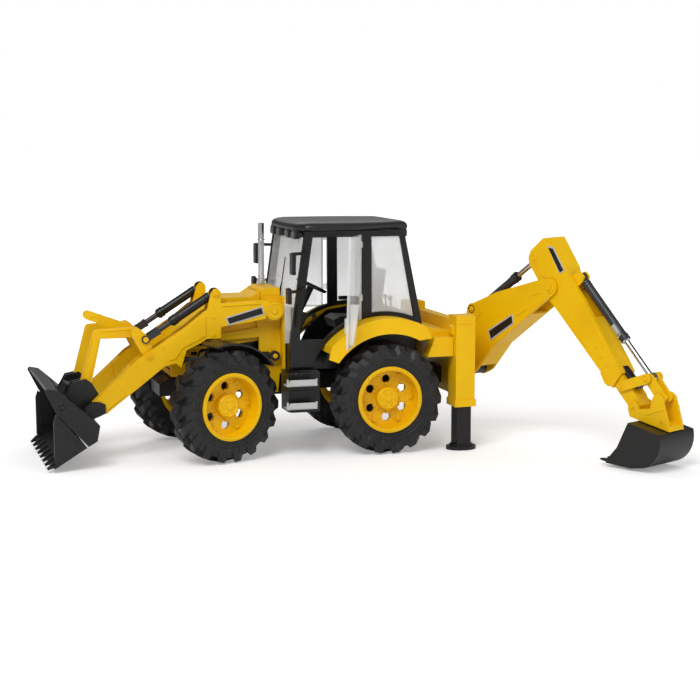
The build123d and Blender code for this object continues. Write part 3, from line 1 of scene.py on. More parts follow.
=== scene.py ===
# %% [markdown]
# # A toy backhoe loader, dressed
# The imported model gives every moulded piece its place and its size.  This
# lesson adds what a toy factory adds afterwards: the finish of each plastic,
# the small fasteners, the seams and the lenses.  Each step says what the real
# piece is, how it could be made in Blender, and why this way was chosen.

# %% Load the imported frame
import json
from math import cos, pi, radians, sin

import bpy
import numpy as np
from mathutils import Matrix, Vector


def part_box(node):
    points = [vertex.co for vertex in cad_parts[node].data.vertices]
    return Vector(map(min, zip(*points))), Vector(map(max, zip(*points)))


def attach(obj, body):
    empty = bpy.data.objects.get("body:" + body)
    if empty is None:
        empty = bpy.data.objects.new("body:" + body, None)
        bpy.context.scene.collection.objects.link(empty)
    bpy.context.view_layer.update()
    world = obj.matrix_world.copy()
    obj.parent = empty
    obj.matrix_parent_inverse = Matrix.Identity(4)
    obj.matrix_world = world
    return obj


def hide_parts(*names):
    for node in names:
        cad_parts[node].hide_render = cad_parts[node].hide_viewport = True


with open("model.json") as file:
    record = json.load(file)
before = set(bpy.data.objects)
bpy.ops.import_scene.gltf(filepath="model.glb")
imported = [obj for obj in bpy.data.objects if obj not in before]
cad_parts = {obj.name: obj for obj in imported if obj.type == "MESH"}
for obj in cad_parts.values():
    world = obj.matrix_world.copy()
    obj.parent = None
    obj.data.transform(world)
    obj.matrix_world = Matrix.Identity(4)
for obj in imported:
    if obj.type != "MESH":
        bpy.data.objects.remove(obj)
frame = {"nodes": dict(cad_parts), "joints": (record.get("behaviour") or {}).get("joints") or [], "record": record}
nodes = frame["nodes"]
joints = {joint["name"]: joint for joint in frame["joints"]}
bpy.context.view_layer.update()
MM = 0.001

# %% [markdown]
# ## Colour and nodes
# Paint charts and plastics catalogues give colours as sRGB hex, but shaders
# add light, so they need linear values.  One function turns one into the
# other, and one more adds a shader node with its settings and its links, so a
# material reads as a short list of what it is made of.


# %% Turn catalogue colours into light, and add a node
def linear(hex_colour):
    """sRGB to linear: c / 12.92 below 0.04045, else ((c + 0.055) / 1.055) ** 2.4."""
    channels = np.array([int(hex_colour[i:i + 2], 16) for i in (1, 3, 5)]) / 255
    low = channels / 12.92
    high = ((channels + 0.055) / 1.055) ** 2.4
    return tuple(np.where(channels <= 0.04045, low, high)) + (1.0,)


def add(tree, kind, settings=None, inputs=None):
    """Adds one node.  A setting is a property; an input, by name or number, is a value or a link."""
    node = tree.nodes.new(kind)
    for name, value in (settings or {}).items():
        setattr(node, name, value)
    for name, value in (inputs or {}).items():
        if isinstance(value, bpy.types.NodeSocket):
            tree.links.new(value, node.inputs[name])
        else:
            node.inputs[name].default_value = value
    return node


def start(name):
    """A new material with all its nodes cleared, and the Object output of a new texture coordinate node."""
    material = bpy.data.materials.new(name)
    material.use_nodes = True
    tree = material.node_tree
    tree.nodes.clear()
    return material, tree, add(tree, "ShaderNodeTexCoord").outputs["Object"]


def end(tree, shader):
    """Links a shader to the material's surface."""
    add(tree, "ShaderNodeOutputMaterial", inputs={"Surface": shader})


print("yellow in linear light:", [round(float(c), 3) for c in linear("#ECBB02")])

# %% [markdown]
# ## Moulded plastic
# Almost the whole toy is injection-moulded ABS.  The steel mould is polished
# for the yellow pieces, so they shine softly, and spark-eroded for the black
# ones, so they are matt with a fine grain.  Real ABS has an IOR of about 1.53.
# A wide, faint noise stands for the uneven flow of the melt, and a fine one
# for the grain of the mould.  The true grain is about 0.05 mm, too fine to
# show, so it is drawn 0.5 mm wide and very shallow.  The yellow has less gloss
# than the rest, because a pale reflection would wash out its deep colour.


# %% A moulded plastic
def moulded(name, hex_colour, shade_hex, roughness, grain_mm, depth_mm, gloss=0.38, coat=0.0):
    """ABS from a mould: two near tones and the roughness by a wide noise, relief by a fine one."""
    material, tree, place = start(name)
    flow = add(tree, "ShaderNodeTexNoise", {"noise_dimensions": "3D"},
               {"Vector": place, "Scale": 22.0, "Detail": 3.0, "Roughness": 0.55})
    fade = add(tree, "ShaderNodeMapRange",
               inputs={"Value": flow.outputs["Fac"], "From Min": 0.42, "From Max": 0.72})
    tone = add(tree, "ShaderNodeMix", {"data_type": "RGBA"},
               {"A": linear(hex_colour), "B": linear(shade_hex), "Factor": fade.outputs["Result"]})
    grain = add(tree, "ShaderNodeTexNoise", {"noise_dimensions": "3D"},
                {"Vector": place, "Scale": 1000.0 / grain_mm, "Detail": 2.0})
    dull = add(tree, "ShaderNodeMapRange",
               inputs={"Value": flow.outputs["Fac"], "From Min": 0.3, "From Max": 0.7,
                       "To Min": roughness - 0.05, "To Max": roughness + 0.06})
    relief = add(tree, "ShaderNodeBump",
                 inputs={"Height": grain.outputs["Fac"], "Strength": 0.35, "Distance": depth_mm * MM})
    shader = add(tree, "ShaderNodeBsdfPrincipled",
                 inputs={"Base Color": tone.outputs["Result"], "Roughness": dull.outputs["Result"],
                         "IOR": 1.53, "Specular IOR Level": gloss,
                         "Normal": relief.outputs["Normal"], "Coat Weight": coat,
                         "Coat Roughness": 0.12})
    end(tree, shader.outputs["BSDF"])
    return material


yellow_abs = moulded("yellow_moulded_abs", "#ECBB02", "#E5B101", 0.38, 0.5, 0.02, gloss=0.2, coat=0.03)
black_abs = moulded("black_grained_abs", "#151516", "#1D1D1E", 0.36, 0.6, 0.04)
roof_abs = moulded("black_satin_roof_abs", "#242425", "#2B2B2C", 0.38, 0.7, 0.03)
grey_abs = moulded("dark_grey_cylinder_abs", "#37383A", "#2E2F31", 0.36, 0.5, 0.02)
silver_abs = moulded("silver_filled_abs", "#B9B9B8", "#A9A9A8", 0.42, 0.6, 0.03)
tread_pvc = moulded("black_tyre_pvc", "#1A1A1B", "#222223", 0.44, 0.9, 0.06)
print("six moulded plastics")

# %% [markdown]
# ## Metallised and clear plastic
# The rods and the exhaust are plastic with a vacuum-deposited film of
# aluminium: a real mirror, slightly soft, because the plastic under it ripples.
# The doors and windows are clear polystyrene, 1.2 mm thick.  A sheet that thin
# hardly bends light, so it is shown as a thin veil with a sharp gloss, which
# also lets light into the cab as the real one does.


# %% Metallised film and clear sheet
def metallised(name, hex_colour, roughness):
    """Vacuum-metallised plastic: a metal film with faint long ripples."""
    material, tree, place = start(name)
    ripple = add(tree, "ShaderNodeTexNoise", inputs={"Vector": place, "Scale": 180.0, "Detail": 1.0})
    relief = add(tree, "ShaderNodeBump",
                 inputs={"Height": ripple.outputs["Fac"], "Strength": 0.2, "Distance": 0.03 * MM})
    shader = add(tree, "ShaderNodeBsdfPrincipled",
                 inputs={"Base Color": linear(hex_colour), "Metallic": 1.0, "Roughness": roughness,
                         "Normal": relief.outputs["Normal"]})
    end(tree, shader.outputs["BSDF"])
    return material


def clear_sheet(name, hex_colour, veil, roughness):
    """Clear polystyrene: a thin veil of colour with a gloss, faintly uneven like moulded sheet."""
    material, tree, place = start(name)
    flow = add(tree, "ShaderNodeTexNoise", inputs={"Vector": place, "Scale": 30.0, "Detail": 2.0})
    cloud = add(tree, "ShaderNodeMapRange",
                inputs={"Value": flow.outputs["Fac"], "From Min": 0.3, "From Max": 0.7,
                        "To Min": veil - 0.05, "To Max": veil + 0.07})
    shader = add(tree, "ShaderNodeBsdfPrincipled",
                 inputs={"Base Color": linear(hex_colour), "Roughness": roughness, "IOR": 1.59,
                         "Alpha": cloud.outputs["Result"], "Coat Weight": 0.6, "Coat Roughness": 0.04})
    end(tree, shader.outputs["BSDF"])
    return material


chrome_film = metallised("metallised_aluminium_film", "#DCDCDE", 0.16)
mirror_film = metallised("mirror_film", "#E4E6E8", 0.05)
window_ps = clear_sheet("clear_polystyrene", "#F4F6F6", 0.33, 0.08)
lens_ps = clear_sheet("smoked_lens_polystyrene", "#6A6B6C", 0.85, 0.08)
print("two films and two clear sheets")

# %% [markdown]
# ## Dressing the moulded pieces
# Each piece of the frame keeps its shape and only changes its material.  The
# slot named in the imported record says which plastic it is; a short table turns
# slots into the materials above.

# %% Give each moulded piece its plastic
by_slot = {"yellow": yellow_abs, "black": black_abs, "grey": grey_abs, "chrome": chrome_film,
           "silver": silver_abs, "clear": window_ps, "tyre": tread_pvc, "lamp": lens_ps,
           "mirror": mirror_film, "roof": roof_abs}
slots = {entry["node"]: entry["material_slot"] for entry in frame["record"]["subparts"]}
for name, piece in nodes.items():
    for index in range(len(piece.material_slots)):
        piece.material_slots[index].material = by_slot[slots[name]]
print("dressed", len(slots), "pieces")

# %% [markdown]
# ## Surfaces from formulas
# The small pieces are turned, bent or punched shapes, and each kind has a
# short formula.  A turned piece sweeps a profile round an axis; a bent rod
# sweeps a circle along a path; a punched plate lifts an outline and breaks its
# edge.  NumPy computes the points, so no modifier has to be applied later.


# %% Turned pieces and bent rods
def grid(rows, columns, ring=False):
    """Four-sided faces between rows of points, each row closed on itself."""
    last = rows if ring else rows - 1
    return [(i * columns + j, i * columns + (j + 1) % columns,
             (i + 1) % rows * columns + (j + 1) % columns, (i + 1) % rows * columns + j)
            for i in range(last) for j in range(columns)]


def lathe(profile, centre, axis, segments=32, ring=False):
    """p(i, a) = c + h_i n + r_i (u cos a + v sin a), for a profile of (radius, height) in mm."""
    radius, height = np.array(profile, float).T
    axis = np.array(axis, float) / np.linalg.norm(axis)
    u = np.cross(axis, (0.31, 0.52, 0.79))
    u /= np.linalg.norm(u)
    a = np.linspace(0, 2 * pi, segments, endpoint=False)
    around = np.cos(a)[:, None] * u + np.sin(a)[:, None] * np.cross(axis, u)
    points = np.array(centre, float) + height[:, None, None] * axis + radius[:, None, None] * around
    faces = grid(len(radius), segments, ring)
    if not ring:
        last = (len(radius) - 1) * segments
        faces += [tuple(range(segments)), tuple(range(last, last + segments))]
    return points.reshape(-1, 3), faces


def bead(radius, thick, centre, axis, segments=48):
    """A round ring: (R + t cos b, t sin b) turned about the axis."""
    b = np.linspace(0, 2 * pi, 10, endpoint=False)
    profile = np.column_stack((radius + thick * np.cos(b), thick * np.sin(b)))
    return lathe(profile, centre, axis, segments, True)


def button(radius, height, centre, axis, segments=24):
    """A pin head: a short cylinder with a bevelled edge."""
    edge = min(0.35 * height, 0.3 * radius)
    profile = [(radius, -0.2), (radius, height - edge), (radius - edge, height)]
    return lathe(profile, centre, axis, segments)


def rod(path, radius, sides=14):
    """Circles square to the path: p = q_i + r (u cos a + v sin a)."""
    path = np.array(path, float)
    ahead = np.gradient(path, axis=0)
    ahead /= np.linalg.norm(ahead, axis=1)[:, None]
    lean = (0.05, 0.03, 1.0) if abs(ahead[:, 2]).max() < 0.95 else (1.0, 0.04, 0.02)
    u = np.cross(ahead, lean)
    u /= np.linalg.norm(u, axis=1)[:, None]
    v = np.cross(ahead, u)
    a = np.linspace(0, 2 * pi, sides, endpoint=False)
    ring = np.cos(a)[None, :, None] * u[:, None] + np.sin(a)[None, :, None] * v[:, None]
    points = (path[:, None] + radius * ring).reshape(-1, 3)
    last = (len(path) - 1) * sides
    return points, grid(len(path), sides) + [tuple(range(sides)), tuple(range(last, last + sides))]


print("turned pieces and bent rods are ready")


# %% Punched plates and planes
def plate(outline, plane, low, high, break_edge=0.25):
    """Lifts an outline from low to high along the plane's normal, with its upper edge broken."""
    origin, across, up, normal = (np.array(part, float) for part in plane)
    flat = np.array(outline, float)
    before = flat - np.roll(flat, 1, axis=0)
    after = np.roll(flat, -1, axis=0) - flat
    before /= np.linalg.norm(before, axis=1)[:, None]
    after /= np.linalg.norm(after, axis=1)[:, None]
    area = np.sum(flat[:, 0] * np.roll(flat[:, 1], -1) - np.roll(flat[:, 0], -1) * flat[:, 1])
    inward = np.sign(area) * np.column_stack((-(before + after)[:, 1], (before + after)[:, 0]))
    inward /= np.maximum(1.0 + np.sum(before * after, axis=1), 0.4)[:, None]
    thick = min(break_edge, abs(high - low) / 2) * np.sign(high - low)
    rings = [(flat, low), (flat, high - thick), (flat + inward * abs(thick), high)]
    points = [origin + ring[:, :1] * across + ring[:, 1:] * up + lift * normal for ring, lift in rings]
    n = len(flat)
    return np.vstack(points), grid(3, n) + [tuple(range(n)), tuple(range(2 * n, 3 * n))]


def rounded(middle, width, height, radius, turn=0.0, steps=5):
    """A rounded rectangle's outline, turned by an angle in degrees."""
    points = []
    for sx, sy, first in ((1, 1, 0), (-1, 1, 90), (-1, -1, 180), (1, -1, 270)):
        for a in np.radians(np.linspace(first, first + 90, steps)):
            points.append((sx * (width / 2 - radius) + radius * cos(a),
                           sy * (height / 2 - radius) + radius * sin(a)))
    c, s = cos(radians(turn)), sin(radians(turn))
    return [(middle[0] + x * c - y * s, middle[1] + x * s + y * c) for x, y in points]


SIDE_PLANE = ((0, 0, 0), (1, 0, 0), (0, 0, 1), (0, 1, 0))
FRONT_PLANE = ((0, 0, 0), (0, 1, 0), (0, 0, 1), (1, 0, 0))
TOP_PLANE = ((0, 0, 0), (1, 0, 0), (0, 1, 0), (0, 0, 1))
foot = np.array(joints["boom_lift"]["pos_m"]) / MM
post = np.array(joints["boom_swing"]["pos_m"]) / MM
REACH = (foot - post) * (1, 1, 0)
REACH /= np.linalg.norm(REACH)
ACROSS = np.array((REACH[1], -REACH[0], 0.0))
HOE_PLANE = (post * (1, 1, 0), REACH, (0, 0, 1), ACROSS)
head = np.array(joints["dipper_swing"]["pos_m"]) / MM
DOWN = np.array(joints["dipper_extend"]["axis"], float)
DIP_PLANE = (head, DOWN, np.cross(ACROSS, DOWN), ACROSS)
print("the backhoe swings in the plane", [round(float(c), 3) for c in REACH])


# %% Put pieces on a body
SUNK = 0.1                # a plate goes this far into its face, so that no light shows between


def spot(plane, place, lift):
    """The point at a place of a plane, lifted along its normal."""
    origin, across, up, normal = (np.array(part, float) for part in plane)
    return origin + place[0] * across + place[1] * up + lift * normal


def both_sides(parts):
    """The parts, and their mirror images on the other side of the middle plane."""
    return parts + [(points * (1, -1, 1), faces) for points, faces in parts]


def both_faces(outline, plane, face, thick, break_edge=0.25):
    """The same plate laid on the two faces of a piece, and sunk a little into each."""
    return [plate(outline, plane, side * (face - SUNK), side * (face + thick), break_edge)
            for side in (1, -1)]


def rib(plane, first, last, lift, radius, steps=5, sides=14):
    """A straight round rib between two places of a plane."""
    return rod([spot(plane, place, lift) for place in np.linspace(first, last, steps)], radius, sides)


def outward(points, faces):
    """Turns the faces round if the signed volume, the sum of a . (b x c) / 6, is negative."""
    volume = 0.0
    for face in faces:
        for k in range(1, len(face) - 1):
            volume += np.dot(points[face[0]], np.cross(points[face[k]], points[face[k + 1]]))
    return faces if volume > 0 else [face[::-1] for face in faces]


def put(name, body, slot, parts, sharp=35.0):
    """Joins parts in one mesh, in metres, with the slot's material, and lets it ride on a body."""
    points, faces, first = [], [], 0
    for part_points, part_faces in parts:
        middle = part_points - part_points.mean(axis=0)
        faces += [tuple(first + k for k in face) for face in outward(middle, part_faces)]
        points.append(part_points)
        first += len(part_points)
    mesh = bpy.data.meshes.new(name)
    mesh.from_pydata((np.vstack(points) * MM).tolist(), [], faces)
    mesh.polygons.foreach_set("use_smooth", [True] * len(faces))
    mesh.set_sharp_from_angle(angle=radians(sharp))
    mesh.materials.append(by_slot[slot])
    piece = bpy.data.objects.new(name, mesh)
    bpy.context.scene.collection.objects.link(piece)
    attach(piece, body)
    print(f"{name}: {len(parts)} parts, {len(faces)} faces")
    return piece


# %% [markdown]
# ## Wheels
# Each rim is one moulding with a hub cap, six cap screws, collars round its
# holes and small driving lugs beside them.  The tyre's flank has two fine
# rings left by the mould.  A ring is a circle turned about the axle, which
# keeps it round from any side, where a bump map would vanish at the outline.
# All the sizes from here on are in millimetres.

# %% Hub caps, collars and flank rings
WHEELS = (
    # wheel, side
    ("front_left_wheel", 1),
    ("front_right_wheel", -1),
    ("rear_left_wheel", 1),
    ("rear_right_wheel", -1),
)
DISC_FACE, HUB_FACE, FLANGE = 1.0, 7.5, 12.9               # outwards from the wheel's middle
SCREW_RING, BOSS_RING, HOLE_RING, LUG_RING = 5.4, 12.2, 16.0, 21.4      # outwards from the axle
for body, side in WHEELS:
    joint = joints[body + "_spin"]
    axle = np.array(joint["axis"], float) * side
    axle /= np.linalg.norm(axle)
    centre = np.array(joint["pos_m"]) / MM
    level = np.cross(axle, (0, 0, 1))
    wheel_plane = (centre, level, (0, 0, 1), axle)
    hub = [bead(8.0, 0.45, centre + HUB_FACE * axle, axle),
           button(2.8, 0.9, centre + HUB_FACE * axle, axle)]
    for k in range(6):
        a, b = radians(60 * k), radians(60 * k + 30)
        ray, between = np.array((cos(a), sin(a))), np.array((cos(b), sin(b)))
        hub += [button(1.05, 0.8, spot(wheel_plane, SCREW_RING * ray, HUB_FACE), axle, 6),
                bead(4.1, 0.4, spot(wheel_plane, HOLE_RING * ray, DISC_FACE), axle, 28),
                plate(rounded(LUG_RING * ray, 2.4, 3.4, 0.4, 60 * k), wheel_plane,
                      DISC_FACE - 0.2, DISC_FACE + 1.6),
                button(1.3, 1.0, spot(wheel_plane, BOSS_RING * between, DISC_FACE), axle)]
    hub.append(bead(26.2, 0.42, centre + FLANGE * axle, axle, 72))
    put(f"hub_{body}", body, "yellow", hub)
    flank = [bead(radius, 0.5, centre + out * sign * axle, axle, 96)
             for radius, out in ((30.6, 12.0), (33.6, 12.55)) for sign in (1, -1)]
    put(f"flank_rings_{body}", body, "tyre", flank)

# %% [markdown]
# ## Rams
# A toy's ram is a black tube with a thick gland, two beads round it and a soft
# wiper where the rod goes in.  The beads are rings turned about the ram's own
# line, and they ride on the barrel, so they stay with it as the ram works.

# %% Beads and wipers on the rams
RAMS = (
    # body, plane, sideways from it, base, rod's eye, barrel
    ("lift_barrels", SIDE_PLANE, 29.5, (88.0, 81.5), (168.4, 81.1), 50.0),
    ("tilt_barrels", SIDE_PLANE, 29.5, (138.9, 135.9), (196.9, 99.4), 43.0),
    ("boom_ram_barrel", HOE_PLANE, 0.0, (13.0, 90.0), (66.0, 120.0), 40.0),
    ("dipper_ram_barrel", HOE_PLANE, 0.0, (20.0, 114.6), (85.0, 162.0), 52.0),
    ("bucket_ram_barrel", DIP_PLANE, 0.0, (10.9, 24.1), (114.9, 24.1), 66.0),
)
for body, plane, offset, base, tip, barrel in RAMS:
    foot_eye, rod_eye = spot(plane, base, offset), spot(plane, tip, offset)
    line = (rod_eye - foot_eye) / np.linalg.norm(rod_eye - foot_eye)
    gland = foot_eye + barrel * line
    places = ((3.72, 6.4), (3.72, 9.0), (3.75, barrel - 7.0), (4.28, barrel - 4.2), (4.28, barrel - 0.9))
    beads = [bead(radius, 0.32, foot_eye + along * line, line, 32) for radius, along in places]
    wiper = [lathe([(2.5, -0.1), (3.6, -0.1), (3.4, 1.0), (2.5, 1.3)], gland, line, 32, True)]
    if offset:
        beads, wiper = both_sides(beads), both_sides(wiper)
    put(f"beads_{body}", body, slots[body], beads)
    put(f"wiper_{body}", body, "chrome" if plane is DIP_PLANE else "black", wiper)

# %% [markdown]
# ## Pins and bolts
# Every pivot of the toy is a pin with a visible head.  Its place comes from
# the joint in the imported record, so the head sits on the axis that the piece
# really turns on.

# %% Pin heads at the pivots
PINS = (
    # joint, body it rides on, slot, distance from the middle plane, ring's radius, head's radius
    ("loader_lift", "loader_arms", "yellow", 37.5, 6.0, 0.0),
    ("loader_lift", "chassis", "yellow", 37.2, 0.0, 2.6),
    ("loader_bucket_tilt", "loader_bucket", "black", 39.0, 0.0, 1.8),
    ("bell_crank_swing", "loader_arms", "yellow", 36.8, 2.6, 1.5),
    ("bucket_clam_hinge", "loader_bucket", "black", 66.0, 3.0, 1.8),
    ("tilt_barrel_swing", "loader_arms", "yellow", 36.8, 2.6, 1.5),
    ("lift_barrel_swing", "chassis", "yellow", 33.0, 0.0, 1.7),
)
for name, body, slot, out, ring_r, head_r in PINS:
    pivot = np.array(joints[name]["pos_m"]) / MM
    place = (pivot[0], pivot[2])
    parts = []
    if ring_r:
        parts.append(bead(ring_r, 0.45, spot(SIDE_PLANE, place, out), (0, 1, 0)))
    if head_r:
        parts.append(button(head_r, 0.8, spot(SIDE_PLANE, place, out), (0, 1, 0)))
    put(f"pin_{name}_{body}", body, slot, both_sides(parts))

HOE_PINS = (
    # joint, body, slot, how far out, ring's radius, head's radius, corners of the head
    ("boom_lift", "kingpost", "black", 12.0, 0.0, 2.5, 24),
    ("boom_lift", "boom", "yellow", 12.0, 5.0, 0.0, 24),
    ("dipper_swing", "boom", "yellow", 13.3, 0.0, 2.9, 6),
    ("dipper_barrel_swing", "boom", "black", 12.0, 3.2, 0.0, 24),
    ("dipper_barrel_swing", "boom", "yellow", 12.0, 0.0, 1.6, 6),
    ("tipping_lever_swing", "tipping_lever", "yellow", 9.6, 2.7, 1.7, 24),
    ("hoe_link_swing", "tipping_lever", "yellow", 9.6, 2.7, 1.7, 24),
    ("hoe_bucket_curl", "hoe_bucket", "yellow", 10.2, 2.9, 1.7, 6),
)
for name, body, slot, out, ring_r, head_r, corners in HOE_PINS:
    pivot = np.array(joints[name]["pos_m"]) / MM
    parts = []
    for side in (1, -1):
        if ring_r:
            parts.append(bead(ring_r, 0.4, pivot + side * out * ACROSS, ACROSS))
        if head_r:
            parts.append(button(head_r, 0.9, pivot + side * out * ACROSS, side * ACROSS, corners))
    put(f"pin_{name}_{slot}", body, slot, parts)

# %% [markdown]
# ## The loader
# Thin doublers are punched plates laid on the arms, as on the real machine,
# and each breaks the light along its edge.

# %% Doublers on the loader arms
ARM_FACE = 36.0
doubler = [(150.5, 117.6), (163.6, 107.6), (184.0, 94.4), (178.5, 82.0), (173.4, 82.4),
           (167.0, 91.6), (153.4, 97.8), (147.6, 101.0), (147.6, 117.6)]
tip_doubler = [(222.0, 66.2), (236.5, 53.0), (239.5, 46.0), (236.5, 41.2), (230.5, 42.6), (214.0, 54.8)]
tail_strip = [(101.5, 127.2), (134.0, 126.0), (134.0, 124.6), (101.5, 125.9)]
parts = [part for shape in (doubler, tip_doubler, tail_strip)
         for part in both_faces(shape, SIDE_PLANE, ARM_FACE, 0.7, 0.3)]
screws = [button(1.1, 0.7, spot(SIDE_PLANE, place, ARM_FACE), (0, 1, 0), 6)
          for place in ((141.0, 101.5), (141.0, 116.0), (206.0, 79.0), (201.0, 66.8))]
put("arm_doublers", "loader_arms", "yellow", parts + both_sides(screws))

# %% Ribs on the links, the lever and the fork's pin
parts = []
for low, high in (((208.5, 104.0), (231.5, 103.6)), ((236.4, 99.8), (244.8, 68.5))):
    ahead = np.subtract(high, low)
    aside = np.array((-ahead[1], ahead[0])) / np.hypot(*ahead)
    for edge in (2.9, -2.9):
        parts.append(rib(SIDE_PLANE, low + edge * aside, high + edge * aside, 23.2, 0.5))
put("link_ribs", "bucket_links", "yellow", both_sides(parts))
LEVER_LINE = (13.3, 0, 4.9)
parts = [bead(3.95, 0.4, (x, 0.0, z), LEVER_LINE, 28) for x, z in ((236.2, 116.4), (229.6, 114.0))]
put("lever_grip_rings", "bell_cranks", "yellow", parts)
put("fork_pins", "tilt_rods", "yellow", both_sides([button(2.3, 0.6, (196.9, 33.3, 99.4), (0, 1, 0))]))

# %% The loader bucket's seams, wear strips and bolts
parts = [rod([(246.2, y, 40.6), (258.0, y, 51.0), (270.6, y, 62.2)], 0.7) for y in (15.0, 46.0)]
parts += [button(1.1, 0.7, (x, 62.0, z), (-0.66, 0.0, 0.75), 6)
          for x, z in ((244.3, 37.6), (257.4, 49.3), (271.6, 62.0))]
put("bucket_wear_strips", "loader_bucket", "black", both_sides(parts))
parts = [button(1.0, 0.6, (269.6, y, 7.6), (-0.55, 0, -0.84), 6) for y in np.linspace(8.6, 51.9, 6)]
clam_edge = [(256.0, 20.6), (272.6, 39.8), (273.6, 38.4), (258.6, 19.6)]
CLAM_FACE = 66.0
put("clam_bolts", "bucket_clam", "black",
    both_sides(parts) + both_faces(clam_edge, SIDE_PLANE, CLAM_FACE, 0.6))

# %% [markdown]
# ## The backhoe
# The boom carries edge strips and short weld beads; the dipper three rivets
# and three raised ribs.  They are laid out on the plane in which the backhoe
# works, so they keep their place whichever way it swings.

# %% Beads and rivets on the boom and the dipper
BOOM_FACE, DIPPER_FACE = 12.0, 9.0
BOOM_BEADS = (((70.2, 112.4), (83.6, 119.7)), ((24.0, 104.0), (32.0, 112.6)), ((88.0, 131.5), (98.0, 134.0)))
boom_edge = [(22.6, 61.6), (45.4, 87.8), (103.6, 131.4), (104.9, 129.8), (46.6, 86.2), (24.4, 60.4)]
parts = both_faces(boom_edge, HOE_PLANE, BOOM_FACE, 0.6)
for side in (1, -1):
    parts += [rib(HOE_PLANE, first, last, side * (BOOM_FACE + 0.05), 0.55) for first, last in BOOM_BEADS]
put("boom_beads", "boom", "yellow", parts)

DIPPER_RIBS = (((19.5, 4.6), (31.0, -0.6)), ((45.5, 7.2), (54.4, 3.6)), ((-24.0, 4.0), (-12.0, -1.0)))
parts = []
for side in (1, -1):
    face, out = side * DIPPER_FACE, side * ACROSS
    parts += [button(1.25, 0.9, spot(DIP_PLANE, place, face), out)
              for place in ((65.2, 2.4), (74.4, 2.2), (83.6, 1.6))]
    parts += [rib(DIP_PLANE, first, last, side * (DIPPER_FACE + 0.05), 0.5) for first, last in DIPPER_RIBS]
    parts += [bead(3.4, 0.42, spot(DIP_PLANE, (-29.6, 1.6), face), ACROSS, 32),
              button(1.9, 0.8, spot(DIP_PLANE, (-29.6, 1.6), face), out, 6),
              bead(2.6, 0.5, spot(DIP_PLANE, (10.5, 17.2), face), ACROSS, 32)]
put("dipper_rivets_and_ribs", "dipper", "yellow", parts)

# %% [markdown]
# ## Bare plates
# A dark plate with a pale border marks each place where the toy has its
# badge.  The plates are left bare here.  Each is two thin sheets, one laid on
# the other, so that the border stays sharp from any distance.

# %% Bare plates on the arms, the boom and the dipper
BADGES = (
    # border's name, plate's name, body, plane, face, border's outline, plate's outline
    ("arm_plate_border", "arm_plate", "loader_arms", SIDE_PLANE, ARM_FACE,
     [(99.6, 124.2), (131.2, 115.6), (128.8, 108.9), (98.0, 117.2)],
     [(100.8, 122.8), (129.8, 114.9), (128.0, 110.4), (99.3, 118.0)]),
    ("boom_plate_border", "boom_plate_face", "boom", HOE_PLANE, BOOM_FACE,
     [(39.2, 97.6), (66.4, 113.9), (68.4, 105.8), (42.4, 88.6)],
     [(40.6, 96.9), (65.7, 112.2), (67.0, 106.3), (43.0, 90.5)]),
    ("dipper_plate_border", "dipper_plate_face", "dipper", DIP_PLANE, DIPPER_FACE,
     [(-28.2, 19.6), (-23.4, 23.6), (-1.2, 19.9), (-2.6, 13.6)],
     [(-26.6, 19.2), (-22.6, 22.4), (-2.2, 19.0), (-3.2, 14.8)]),
)
BORDER_T, PLATE_T = 0.3, 0.2
for border_name, plate_name, body, plane, face, border, badge in BADGES:
    put(border_name, body, "silver", both_faces(border, plane, face, BORDER_T, 0.1))
    put(plate_name, body, "black", both_faces(badge, plane, face + BORDER_T, PLATE_T, 0.1))

# %% The extension's guide, the bucket ram's label and the lever's rollers
guide = [(60.0, 7.0), (112.0, 7.0), (114.5, 9.0), (113.0, 11.6), (108.0, 10.4), (62.0, 8.6)]
put("extension_guide", "dipper_extension", "black", [plate(guide, DIP_PLANE, -3.6, 3.6, 0.3)])
centre = spot(DIP_PLANE, (66.0, 24.1), 0.0)
arc = np.radians(np.linspace(-62, 28, 9))
ring = [(3.78 * cos(a), 3.78 * sin(a)) for a in arc] + [(3.55 * cos(a), 3.55 * sin(a)) for a in arc[::-1]]
ring_plane = (centre, ACROSS, DIP_PLANE[2], DOWN)
put("bucket_ram_label", "bucket_ram_barrel", "silver", [plate(ring, ring_plane, -5.5, 5.5, 0.02)], 60.0)
pivot = np.array(joints["hoe_link_swing"]["pos_m"]) / MM
roller = [(2.1, 5.75), (3.3, 5.75), (3.3, 7.25), (2.1, 7.25)]
rollers = [lathe(roller, pivot, side * ACROSS, 32, True) for side in (1, -1)]
put("lever_rollers", "tipping_lever", "chrome", rollers)

# %% The quick hitch and the backhoe bucket
SCREW, HITCH_FACE, BUCKET_FACE = (219.5, 40.5), 10.2, 22.5
hitch_edge = [(205.0, 43.4), (222.6, 50.2), (222.0, 51.6), (204.4, 44.8)]
parts = both_faces(hitch_edge, HOE_PLANE, HITCH_FACE, 0.5)
parts += [bead(2.5, 0.4, spot(HOE_PLANE, SCREW, side * HITCH_FACE), ACROSS, 32) for side in (1, -1)]
for turn in (10, 100):
    parts += both_faces(rounded(SCREW, 3.2, 0.9, 0.3, turn), HOE_PLANE, HITCH_FACE, 0.6, 0.1)
put("hitch_screws", "hoe_bucket", "yellow", parts)
rim = [(181.0, 4.9), (200.0, 35.6), (201.4, 34.8), (182.6, 4.7)]
put("hoe_bucket_rims", "hoe_bucket", "black", both_faces(rim, HOE_PLANE, BUCKET_FACE, 0.6))

# %% [markdown]
# ## The stabilisers and the rear frame
# The housings are closed by screws at the collar, the feet by a bolt on each
# side of the leg.

